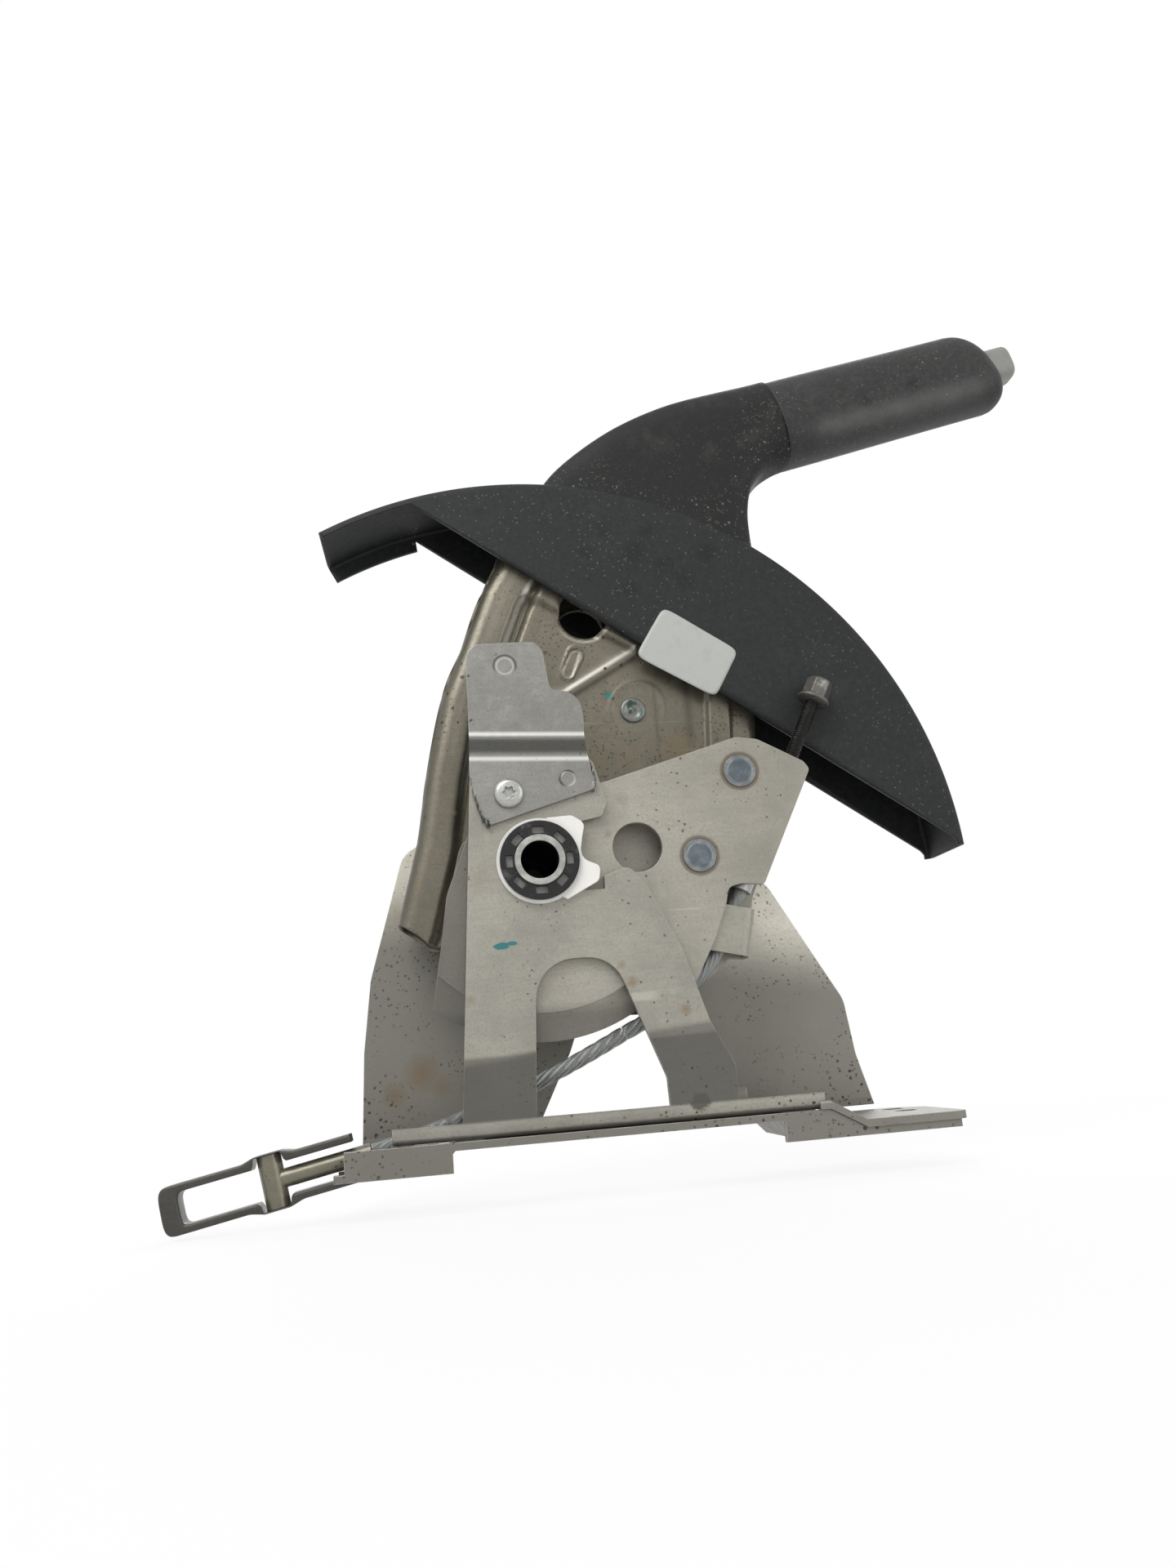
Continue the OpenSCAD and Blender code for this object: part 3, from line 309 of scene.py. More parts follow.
def plated_steel(name, base, rust, metallic=0.45, rough=(0.36, 0.54), specks=0.2, turn=0.0, wear=0.5,
                 painted_shades=(), stains=(), dabs=(), rings=()):
    """Worn zinc-plated sheet.

    Base colour times soft clouds, rolling grain and fine flecks; painted shades darken it from a slanted line down
    to a height, painted shade where a part faces away from the lamps or lies in another's shadow; the attribute of
    painted light lightens pressed forms with painted highlights and darkens them with painted shade; chosen cells
    become dark pits and rust; stains and dabs, mostly paint, have ragged edges round given points; rings are brown
    to a radius round a point; edges turn bright, partly wear and partly a painted highlight.
    """
    f = Finish(name)
    cloud = f.noise(26.0, 4.0, 0.6)
    mottle = f.noise(230.0, 4.0, 0.65)
    grain = f.noise(300.0, 3.0, 0.6, f.moved(scale=(0.30, 1.0, 2.0), turn=(0, turn, 0)))
    colour = f.mix(f.ramp(cloud, 0.30, 0.70), tint(base, 0.84), tint(base, 1.12))
    colour = f.mix(f.ramp(grain, 0.38, 0.70, 0.0, 0.22), colour, tint(base, 0.70))
    colour = f.mix(f.ramp(mottle, 0.50, 0.78, 0.0, 0.35), colour, tint(base, 1.25))
    fleck = f.noise(950.0, 4.0, 0.75)
    colour = f.mix(f.ramp(fleck, 0.44, 0.66, 0.0, 0.34), colour, tint(base, 0.55))
    smut = f.times(f.ramp(f.noise(52.0, 5.0, 0.7), 0.52, 0.76, 0.0, 0.30), f.ramp(fleck, 0.30, 0.60))
    colour = f.mix(smut, colour, tint(base, (0.48, 0.44, 0.38)))
    scratch = f.noise(70.0, 2.0, 0.5, f.moved(scale=(0.10, 1.0, 4.5), turn=(0, turn + 0.8, 0)))
    scratch = f.times(f.ramp(scratch, 0.66, 0.72), f.ramp(f.noise(33.0), 0.55, 0.66))
    colour = f.mix(f.times(scratch, 0.55), colour, tint(base, 1.5))
    # Painted shade: darker below a slanted line down to a height, where a part faces away from the lamps or lies
    # in shadow
    for start, stop, soft, depth, end in painted_shades:
        painted_shade = f.math("SUBTRACT", f.below(start, stop, soft, 1.5), f.below((-300, end), (300, end), 1.5))
        colour = f.mix(f.times(painted_shade, depth), colour, tint(base, 0.22))
    # Painted light from a point attribute: over 0 a painted highlight along bends and ridges, under 0 painted
    # shade in grooves
    painted_light = f.node("ShaderNodeAttribute", attribute_name="painted_light").outputs["Fac"]
    painted_highlight_colour = tuple(1.2 * c + 1.7 * max(base) for c in base)
    colour = f.mix(f.ramp(painted_light, 0.0, 1.0, 0.0, 0.90), colour, painted_highlight_colour)
    colour = f.mix(f.ramp(painted_light, 0.0, -1.0, 0.0, 0.85), colour, tint(base, 0.16))
    patches = f.ramp(f.noise(17.0, 3.0), 0.42, 0.62)
    pits = f.times(f.specks(430.0, specks, 0.40), patches)
    fine = f.times(f.specks(900.0, specks * 1.3, 0.50), f.ramp(f.noise(36.0), 0.42, 0.58))
    colour = f.mix(f.times(fine, 0.75), colour, (0.060, 0.048, 0.036))
    colour = f.mix(f.times(pits, 0.9), colour, (0.030, 0.025, 0.020))
    rusty = f.times(f.specks(300.0, specks * 0.4, 0.40), f.ramp(f.noise(21.0), 0.54, 0.68, 0.0, 0.8))
    for point, size, strength in stains:
        spot = f.ramp(f.near(point, size * 0.9, 230.0), size * 1.35, size * 0.45, 0.0, strength)
        rusty = f.math("MAXIMUM", rusty, spot)
    colour = f.mix(rusty, colour, rust)
    for point, size in rings:
        edge_of = f.near(point, size * 0.10, 520.0)
        colour = f.mix(f.ramp(edge_of, size * 1.10, size * 0.97, 0.0, 0.75), colour, (0.105, 0.082, 0.060))
    # Edges turn bright: partly worn edges, partly a painted highlight along them
    rounded = f.soft_edges(EDGE)
    bright = f.times(f.edges(rounded), f.ramp(f.noise(120.0, 3.0), 0.30, 0.60, 0.15, wear))
    colour = f.mix(bright, colour, tint(base, 2.0))
    # Dabs: mostly paint marks, and on the front bracket's rail one painted reflection
    for point, size, squeeze, dab_colour in dabs:
        mark = f.ramp(f.near(point, size * 0.7, 420.0, squeeze), size * 1.22, size * 0.95, 0.0, 0.9)
        colour = f.mix(mark, colour, dab_colour)
    roughness = f.ramp(f.math("ADD", mottle, f.times(rusty, 0.5)), 0.3, 0.8, *rough)
    height = f.math("ADD", f.times(grain, 0.7), f.times(mottle, 0.4))
    height = f.math("SUBTRACT", height, pits)
    normal = f.bump(height, 0.00010, 0.5, rounded)
    metal = f.math("SUBTRACT", metallic, f.times(rusty, metallic * 0.8))
    return f.set(Base_Color=colour, Metallic=metal, Roughness=roughness, Normal=normal)


def moulded(name, base, dust, grain_scale=1500.0, rough=(0.52, 0.70), smudges=()):
    """Grained, scuffed plastic.

    Base colour times clouds and scuffs; pale dust in chosen cells, in drifts; ragged greasy smudges round
    given points; a painted sheen, a painted highlight, where the point attribute of painted light is over 0.
    """
    f = Finish(name)
    cloud = f.noise(14.0, 4.0, 0.6)
    colour = f.mix(f.ramp(cloud, 0.3, 0.7), tint(base, 0.72), tint(base, 1.28))
    scuff = f.noise(420.0, 5.0, 0.75)
    colour = f.mix(f.ramp(scuff, 0.42, 0.70, 0.0, 0.45), colour, tint(base, 1.9))
    colour = f.mix(f.ramp(scuff, 0.56, 0.34, 0.0, 0.45), colour, tint(base, 0.45))
    haze = f.ramp(f.noise(70.0, 5.0, 0.7), 0.50, 0.78, 0.0, 0.10 * dust)
    colour = f.mix(haze, colour, (0.13, 0.125, 0.11))
    smear = 0.0
    for point, size in smudges:
        spot = f.ramp(f.near(point, size * 0.8, 170.0), size * 1.7, size * 0.9, 0.0, 0.85)
        smear = f.math("MAXIMUM", smear, spot)
    if smudges:
        smear = f.times(smear, f.ramp(f.noise(330.0, 4.0, 0.7), 0.40, 0.50))
        colour = f.mix(smear, colour, tint(base, 0.25))
    # Painted sheen: a painted highlight where the point attribute of painted light is over 0
    painted_light = f.node("ShaderNodeAttribute", attribute_name="painted_light").outputs["Fac"]
    painted_sheen = f.times(f.ramp(painted_light, 0.0, 1.0), f.ramp(f.noise(90.0, 4.0), 0.25, 0.75, 0.6, 1.0))
    colour = f.mix(painted_sheen, colour, tint(base, 5.5))
    where = f.ramp(f.noise(21.0, 3.0), 0.40, 0.60, 0.08, 1.0)
    large = f.times(f.specks(560.0, 0.09 * dust, 0.36), where)
    small = f.times(f.specks(1150.0, 0.20 * dust, 0.50), where)
    colour = f.mix(f.times(small, 0.55), colour, (0.135, 0.125, 0.095))
    colour = f.mix(f.times(large, 0.60), colour, (0.19, 0.175, 0.13))
    grain = f.cells(grain_scale)[0]
    roughness = f.ramp(f.math("SUBTRACT", cloud, f.times(smear, 0.3)), 0.2, 0.8, *rough)
    height = f.math("ADD", f.times(grain, 0.5), f.times(large, 1.5))
    normal = f.bump(height, 0.00010, 0.5, f.soft_edges(EDGE))
    return f.set(Base_Color=colour, Roughness=roughness, Normal=normal, Specular_IOR_Level=0.32)


def plain_plastic(name, base, dirt=0.3, rough=0.45, shade_radius=0.0):
    """Smooth plastic with a little grime in clouds, and painted shade nearer the pivot's axis than a radius"""
    f = Finish(name)
    cloud = f.noise(70.0, 5.0, 0.65)
    colour = f.mix(f.ramp(cloud, 0.48, 0.80, 0.0, dirt), base, tint(base, 0.45))
    # Painted shade behind the push ring: darker nearer the pivot's axis than the radius
    if shade_radius:
        axis = f.near(at(0, 0, 0), 0.0, 1.0, (1.0, 0.0, 1.0))
        colour = f.mix(f.ramp(axis, shade_radius, shade_radius - 0.0004, 0.0, 0.75), colour, tint(base, 0.12))
    spots = f.specks(700.0, 0.10, 0.30)
    colour = f.mix(f.times(spots, dirt * 1.5), colour, (0.12, 0.10, 0.08))
    roughness = f.ramp(cloud, 0.2, 0.8, rough - 0.08, rough + 0.14)
    normal = f.bump(f.noise(900.0, 2.0), 0.00006, 0.4, f.soft_edges(0.0006))
    return f.set(Base_Color=colour, Roughness=roughness, Normal=normal)


def black_metal(name, base=(0.018, 0.018, 0.019), worn=(0.22, 0.21, 0.20), wear=0.35):
    """Blackened steel: the worn colour where a cloud noise is high, and dusty specks in chosen cells"""
    f = Finish(name)
    patch = f.ramp(f.noise(160.0, 5.0, 0.7), 0.52, 0.74, 0.0, wear)
    colour = f.mix(patch, base, worn)
    colour = f.mix(f.times(f.specks(900.0, 0.2, 0.3), 0.5), colour, (0.25, 0.22, 0.17))
    roughness = f.ramp(patch, 0.0, wear, 0.42, 0.60)
    normal = f.bump(f.noise(800.0, 3.0), 0.00008, 0.5, f.soft_edges(0.0003))
    return f.set(Base_Color=colour, Metallic=0.55, Roughness=roughness, Normal=normal)


def rivet_steel(name, centres, radius, rust):
    """Blue-grey rivet heads by distance from the nearest centre: dark middle, paler ring, rust at the edge"""
    f = Finish(name)
    cloud = f.noise(240.0, 4.0, 0.65)
    distance = 1.0
    for point in centres:
        distance = f.math("MINIMUM", distance, f.near(point, radius * 0.16, 600.0))
    middle = f.mix(f.ramp(cloud, 0.3, 0.75), (0.085, 0.105, 0.120), (0.150, 0.175, 0.190))
    outer = f.mix(f.ramp(cloud, 0.3, 0.75), (0.15, 0.165, 0.17), (0.25, 0.265, 0.27))
    colour = f.mix(f.ramp(distance, radius * 0.74, radius * 0.84), middle, outer)
    colour = f.mix(f.ramp(distance, radius * 1.00, radius * 1.07, 0.0, 0.9), colour, tint(rust, 0.55))
    roughness = f.ramp(cloud, 0.3, 0.7, 0.30, 0.50)
    normal = f.bump(cloud, 0.00015, 0.5, f.soft_edges(0.0004))
    return f.set(Base_Color=colour, Metallic=0.5, Roughness=roughness, Normal=normal)


def bored_tube(name, base):
    """Bright tube, black past a millimetre inside its front end, by the place across the lever: painted shade in
    the unlit bore
    """
    f = Finish(name)
    front = float(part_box("pivot_tube")[0][1])
    cloud = f.noise(260.0, 4.0, 0.65)
    colour = f.mix(f.ramp(cloud, 0.35, 0.75), tint(base, 0.75), tint(base, 1.2))
    depth = f.vector("DOT_PRODUCT", f.here, (0.0, 1.0, 0.0))
    # Painted shade: the bore black past a millimetre inside its front end
    colour = f.mix(f.ramp(depth, front + 0.0006, front + 0.0022, 0.0, 0.97), colour, (0.004, 0.006, 0.007))
    normal = f.bump(cloud, 0.00012, 0.5, f.soft_edges(0.0005))
    roughness = f.ramp(cloud, 0.3, 0.7, 0.28, 0.44)
    return f.set(Base_Color=colour, Metallic=0.3, Roughness=roughness, Normal=normal)


def wire_steel(name):
    """Bare wire: fine wires follow the strands through the piece's UV map"""
    f = Finish(name)
    uv = f.node("ShaderNodeUVMap").outputs[0]
    sockets = {"Vector": f.moved(turn=(0, 0, 0.5), source=uv), "Scale": 5.5}
    wires = f.node("ShaderNodeTexWave", sockets, wave_type="BANDS", bands_direction="X").outputs[0]
    grime = f.ramp(f.noise(150.0, 4.0, 0.7), 0.5, 0.75, 0.0, 0.6)
    colour = f.mix(f.ramp(wires, 0.15, 0.85), (0.22, 0.23, 0.22), (0.58, 0.60, 0.58))
    colour = f.mix(grime, colour, (0.14, 0.13, 0.11))
    normal = f.bump(wires, 0.00025, 0.7)
    return f.set(Base_Color=colour, Metallic=0.85, Roughness=0.36, Normal=normal)


def label_paper(name):
    """Blank satin label: a darker colour where a cloud noise is high, and a few specks"""
    f = Finish(name)
    scuff = f.ramp(f.noise(170.0, 5.0, 0.7), 0.52, 0.75, 0.0, 0.35)
    colour = f.mix(scuff, (0.42, 0.43, 0.405), (0.29, 0.29, 0.27))
    colour = f.mix(f.times(f.specks(600.0, 0.12, 0.3), 0.6), colour, (0.2, 0.18, 0.15))
    return f.set(Base_Color=colour, Roughness=0.42, Normal=f.bump(scuff, 0.00005, 0.4))


FINISHES = {}


def make_finishes(colours):
    """All materials of the object, by the record's slot or by piece"""
    rust = tuple(colours.rust)
    bracket, lever = tuple(colours.bracket), tuple(colours.lever)
    black = (0.010, 0.009, 0.008)
    FINISHES.update(
        bracket_steel=plated_steel("bracket_steel", bracket, rust),
        front_bracket=plated_steel(
            "front_bracket_steel", tint(bracket, 1.08), rust, specks=0.10, turn=0.2,
            # Painted shade: the lower legs darker down to the rail, and the strip under the rail darker as in
            # shadow
            painted_shades=[((-36, -75.0), (-6, -74.0), 2.0, 0.62, -97.6),
                    ((43, -69.5), (72, -66.5), 3.0, 0.60, -97.6),
                    ((-90, -102.6), (160, -102.6), 1.0, 0.5, -130)],
            stains=[(at(x, -39, z), size, strength) for x, z, size, strength in (
                (15, 12, 0.004, 0.55), (33, -50, 0.004, 0.6), (29, -43, 0.003, 0.5), (-24, -6, 0.008, 0.22),
                (53, -62, 0.004, 0.5), (-30, -52, 0.003, 0.4))],
            dabs=[(at(-17.2, -39, -32.4), 0.0018, (0.45, 1, 1), TEAL),
                  (at(-12.8, -39, -31.6), 0.0012, (0.45, 1, 1), TEAL),
                  # Dark blot on the rail under the right leg: a painted reflection of the leg's edge
                  (at(55, -37, -97), 0.005, (0.8, 1, 1), tint(bracket, 0.25))]),
        rear_bracket=plated_steel(
            # Painted light and shade: a bright bracket left bright on its upper right, darkened below a slanted
            # line as in the sector's shadow, a little on the left, and along the lower strip
            "rear_bracket_steel", tint(bracket, 2.45), rust, specks=0.28, turn=1.15,
            painted_shades=[((40, -27), (150, -46), 36.0, 0.90, -130), ((-18, 40), (-26, -120), 14.0, 0.10, -130),
                    ((-90, -104.5), (160, -104.5), 1.0, 0.62, -130)],
            stains=[(at(x, 22, z), size, strength) for x, z, size, strength in (
                (-52, -78, 0.012, 0.55), (-64, -86, 0.008, 0.5), (-44, -84, 0.007, 0.45),
                (-60, -10, 0.012, 0.2))],
            dabs=[(at(100, 20, -95), 0.0022, (0.35, 1, 1), black),
                  (at(-70, 20, -96), 0.0016, (0.4, 1, 1), black)]),
        lever_steel=plated_steel("lever_steel", lever, rust, specks=0.2),
        lever_shell=plated_steel(
            "lever_shell_steel", tint(lever, 1.16), rust, metallic=0.55, rough=(0.32, 0.48), specks=0.30,
            turn=1.3,
            stains=[(at(66, -12, 50), 0.012, 0.35), (at(44, -12, 47), 0.010, 0.25),
                    (at(28, -12, 46), 0.012, 0.2)],
            dabs=[(at(37.5, -12, 76), 0.0018, (0.6, 1, 1), (0.03, 0.16, 0.13))]),
        sector_plate=plated_steel(
            "sector_plate_steel", tint(bracket, (1.17, 1.16, 1.15)), rust, specks=0.05, turn=0.4,
            stains=[(at(36, -35, 24), 0.005, 0.25), (at(29, -34.7, 10), 0.003, 0.4)]
            + [(at(x, -34.7, z), 0.0122, 0.35) for x, z in RIVETS],
            rings=[(at(x, -34.7, z), 0.0084) for x, z in RIVETS],
            # Painted shade: the dished rim darker below, and the right side and the part left of the bracket's leg
            # darker as in shadow
            painted_shades=[((-45, -58.5), (60, -58.5), 7.0, 0.52, -130), ((78, -60), (50, 60), 30.0, 0.16, -130),
                    ((-23, 60), (-25, -120), 3.0, 0.72, -130)]),
        switch_plate=plated_steel(
            "switch_plate_steel", tint(bracket, (0.87, 0.895, 0.95)), rust, metallic=0.6,
            rough=(0.30, 0.44), specks=0.03),
        bright_zinc=plated_steel(
            "bright_zinc", tuple(colours.bright), rust, metallic=0.7, rough=(0.24, 0.38), specks=0.05),
        link_steel=plated_steel(
            "link_steel", tint(bracket, 0.20), rust, specks=0.25, rough=(0.26, 0.40), wear=0.9),
        end_zinc=plated_steel(
            "end_zinc", tint(bracket, (0.62, 0.60, 0.52)), rust, rough=(0.26, 0.40), specks=0.1),
        rivet_steel=rivet_steel("rivet_steel", [at(x, -35.0, z) for x, z in RIVETS], 0.0070, rust),
        pin_steel=plated_steel(
            "pin_steel", (0.165, 0.172, 0.158), rust, rough=(0.28, 0.42), specks=0.1, wear=0.2,
            dabs=[(at(46.5, -13, 70.5), 0.0021, (1, 1, 0.6), (0.02, 0.055, 0.05)),
                  (at(50.5, -13, 67.5), 0.0014, (1, 1, 0.6), (0.02, 0.055, 0.05))]),
        tube_steel=bored_tube("tube_steel", (0.40, 0.40, 0.37)),
        black_metal=black_metal("black_metal"),
        thread_metal=black_metal("thread_metal", (0.009, 0.009, 0.008), (0.11, 0.105, 0.09), 0.35),
        bolt_metal=black_metal("bolt_metal", (0.115, 0.110, 0.098), (0.42, 0.41, 0.37), 0.9),
        black_plastic=moulded(
            "cover_plastic", tint(colours.cover, 0.95), 0.6,
            smudges=[(at(x, -19, z), size * MM) for x, z, size in (
                (54, 139, 6), (67, 133, 5), (75, 126, 5), (32, 140, 4), (50, 122, 5), (60, 150, 4),
                (86, 138, 5), (40, 150, 4), (-14, 160, 4))]),
        neck_plastic=moulded("neck_plastic", tint(colours.cover, 0.36), 1.5),
        grip_plastic=moulded(
            "grip_plastic", tuple(colours.grip), 0.7, grain_scale=1900.0, rough=(0.46, 0.60),
            smudges=[(at(196, -18, 221), 0.004), (at(172, -18, 213), 0.003)]),
        button_plastic=plain_plastic("button_plastic", tuple(colours.button), 0.4),
        # Bush darker within 16 mm of the axis: painted shade behind the push ring
        bush_plastic=plain_plastic("bush_plastic", tuple(colours.bush), 0.18, shade_radius=0.0160),
        wire_rope=wire_steel("wire_rope"),
        label=label_paper("blank_label"),
    )


# Surfaces from arrays

def grid_piece(name, points, wrap_u=False, wrap_v=False, caps=False, uv=None, drop=None, painted_light=None):
    """Mesh of a grid of points in mm from the pivot, quads between neighbours.

    points is (nu, nv, 3). wrap_u and wrap_v join the last row or column to the first. caps
    closes both ends of a grid that wraps in v with one face each. drop is a mask of quads left out.
    The last argument is one number of painted light per point: over 0 the finish is lighter, a painted highlight,
    and under 0 darker, painted shade.
    """
    nu, nv = points.shape[:2]
    iu = np.arange(nu if wrap_u else nu - 1)
    iv = np.arange(nv if wrap_v else nv - 1)
    a, b = np.meshgrid(iu, iv, indexing="ij")
    a2, b2 = (a + 1) % nu, (b + 1) % nv
    quads = np.stack([a * nv + b, a2 * nv + b, a2 * nv + b2, a * nv + b2], -1)
    if drop is not None:
        quads = quads[~drop]
    faces = quads.reshape(-1, 4).tolist()
    if caps:
        faces.append(list(range(nv)))
        faces.append(list(range((nu - 1) * nv, nu * nv))[::-1])
    mesh = bpy.data.meshes.new(name)
    mesh.from_pydata((PIVOT + points.reshape(-1, 3) * MM).tolist(), [], faces)
    if uv is not None:
        layer = mesh.uv_layers.new(name="along")
        loops = np.zeros(len(mesh.loops), np.int32)
        mesh.loops.foreach_get("vertex_index", loops)
        layer.data.foreach_set("uv", uv.reshape(-1, 2)[loops].astype(np.float32).ravel())
    if painted_light is not None:
        layer = mesh.attributes.new("painted_light", "FLOAT", "POINT")
        layer.data.foreach_set("value", painted_light.astype(np.float32).ravel())
    mesh.validate()
    return place(name, mesh)


def place(name, mesh):
    """Links a finished mesh as an object at the origin, loose points removed, smooth, faces outwards"""
    bm = bmesh.new()
    bm.from_mesh(mesh)
    bmesh.ops.delete(bm, geom=[v for v in bm.verts if not v.link_faces], context="VERTS")
    bmesh.ops.remove_doubles(bm, verts=bm.verts, dist=1e-7)
    bmesh.ops.recalc_face_normals(bm, faces=bm.faces)
    bm.to_mesh(mesh)
    bm.free()
    mesh.shade_smooth()
    made = bpy.data.objects.new(name, mesh)
    bpy.context.scene.collection.objects.link(made)
    return made


def face_towards(piece, direction):
    """Turns an open sheet's faces so that they look along a direction on average"""
    mesh = piece.data
    normals = np.zeros(len(mesh.polygons) * 3)
    mesh.polygons.foreach_get("normal", normals)
    if normals.reshape(-1, 3).sum(0) @ np.array(direction) < 0:
        mesh.flip_normals()
    return piece


def sheet(piece, thickness):
    """Gives an open surface its wall, behind its faces"""
    wall = piece.modifiers.new("wall", "SOLIDIFY")
    wall.thickness = thickness
    wall.offset = -1.0
    wall.use_rim = True
    return piece


def dress(piece, body, finish, slot, *nodes):
    """Body to ride on, material, a record slot that is not used, and the CAD nodes that the piece stands for"""
    piece.data.materials.clear()
    piece.data.materials.append(FINISHES[finish])
    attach(piece, body)
    if nodes:
        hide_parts(*nodes)
    return piece


def run_along(line):
    """Length from a line's first point to each of its points"""
    return np.concatenate([[0], np.cumsum(np.linalg.norm(np.diff(line, axis=0), axis=1))])


def round_turn(count):
    """Angles of one full turn in even steps, the last one short of the first"""
    return np.linspace(0, 2 * np.pi, count, endpoint=False)


def upright(p, y):
    """Points of the lever's plane, X and Z, with a distance y across it"""
    return np.stack([p[..., 0], y, p[..., 1]], -1)


def apart(p, centre):
    """Distance of points from a centre"""
    return np.linalg.norm(p - centre, axis=-1)


def curve(knots, count):
    """Smooth line through knots: a Catmull-Rom spline, sampled evenly by the length of its chords"""
    k = np.asarray(knots, float)
    ext = np.vstack([2 * k[0] - k[1], k, 2 * k[-1] - k[-2]])
    chord = run_along(k)
    s = np.linspace(0, chord[-1], count)
    i = np.clip(np.searchsorted(chord, s, side="right") - 1, 0, len(k) - 2)
    t = ((s - chord[i]) / (chord[i + 1] - chord[i]))[:, None]
    p0, p1, p2, p3 = ext[i], ext[i + 1], ext[i + 2], ext[i + 3]
    return 0.5 * (2 * p1 + (p2 - p0) * t + (2 * p0 - 5 * p1 + 4 * p2 - p3) * t ** 2
                  + (3 * p1 - p0 - 3 * p2 + p3) * t ** 3)


def coons(bottom, top, left, right):
    """Patch between four border lines: both ruled patches added, the corner patch taken away"""
    u = np.linspace(0, 1, len(bottom))[:, None, None]
    v = np.linspace(0, 1, len(left))[None, :, None]
    ruled_v = (1 - v) * bottom[:, None] + v * top[:, None]
    ruled_u = (1 - u) * left[None] + u * right[None]
    corner = ((1 - u) * (1 - v) * bottom[0] + u * (1 - v) * bottom[-1]
              + (1 - u) * v * top[0] + u * v * top[-1])
    return ruled_v + ruled_u - corner


def step(x, low, high):
    """Smooth step from 0 at low to 1 at high"""
    t = np.clip((x - low) / (high - low), 0, 1)
    return t * t * (3 - 2 * t)


def bell(x, centre, width):
    """Smooth bump of height 1 round a centre"""
    return np.exp(-((x - centre) / width) ** 2)


def power_of(value, power):
    """A number raised to a power with its sign kept"""
    return np.sign(value) * np.abs(value) ** power


def super_ellipse(power, count):
    """Cosine and sine of a turn, each raised to a power with its sign kept: a circle at 1, squarer below"""
    turn = round_turn(count)[None, :]
    return power_of(np.cos(turn), power), power_of(np.sin(turn), power)


def from_line(p, a, b):
    """Signed distance of points from the line a to b, positive on its left"""
    a, b = np.asarray(a, float), np.asarray(b, float)
    d = (b - a) / np.linalg.norm(b - a)
    return (p[..., 1] - a[1]) * d[0] - (p[..., 0] - a[0]) * d[1]


def from_path(p, knots):
    """Distance of points from a line of straight pieces"""
    k = np.asarray(knots, float)
    best = np.full(p.shape[:-1], 1e9)
    for a, b in zip(k[:-1], k[1:]):
        d = b - a
        t = np.clip(((p - a) @ d) / (d @ d), 0, 1)
        best = np.minimum(best, np.linalg.norm(p - a - t[..., None] * d, axis=-1))
    return best


def lathe(name, profile, centre, axis, sides=64, finish_shape=None):
    """Profile of (radius, height) points turned round an axis; finish_shape may bend the rings"""
    prof = np.asarray(profile, float)
    turn = round_turn(sides)
    axis = np.asarray(axis, float) / np.linalg.norm(axis)
    side = np.cross(axis, [0, 1, 0]) if abs(axis[1]) < 0.9 else np.array([1.0, 0, 0])
    side = side / np.linalg.norm(side)
    other = np.cross(axis, side)
    r = np.repeat(prof[:, :1], sides, 1)
    h = np.repeat(prof[:, 1:2], sides, 1)
    if finish_shape is not None:
        r, h = finish_shape(r, h, turn[None, :])
    ring = np.cos(turn)[:, None] * side + np.sin(turn)[:, None] * other
    points = np.asarray(centre, float) + r[..., None] * ring[None] + h[..., None] * axis
    return grid_piece(name, points, wrap_v=True, caps=True)


# Lever

LEVER_LEFT = [(-58, -17.8), (-48.5, 16), (-43.5, 44), (-35, 79), (-25.5, 101), (-14.7, 127), (4, 157),
              (30, 179)]
LEVER_RIGHT = [(96, 21), (100.5, 47), (103, 78), (104, 110), (105, 140), (106, 168)]
LEVER_TOE = [(-58, -17.8), (-50, -23), (-42.4, -28.5)]
LEVER_FOOT = LEVER_TOE + [(-30, -26.5), (0, -25), (24, -23.5), (72, -13.5), (96, 21)]
LEVER_FOOT_REAR = LEVER_TOE + [(-24, -24), (4, -23), (22, -18), (52, 18), (96, 21)]
LEVER_CROWN = [(30, 179), (54, 192), (80, 200), (100, 190), (106, 168)]
LEVER_HALF = 14.5
LEVER_ARCH = np.array([50.0, 69.0])
LEVER_HOLE, LEVER_HOLE_R, TUBE_HOLE_R = np.array([29.5, 113.8]), 11.0, 10.2


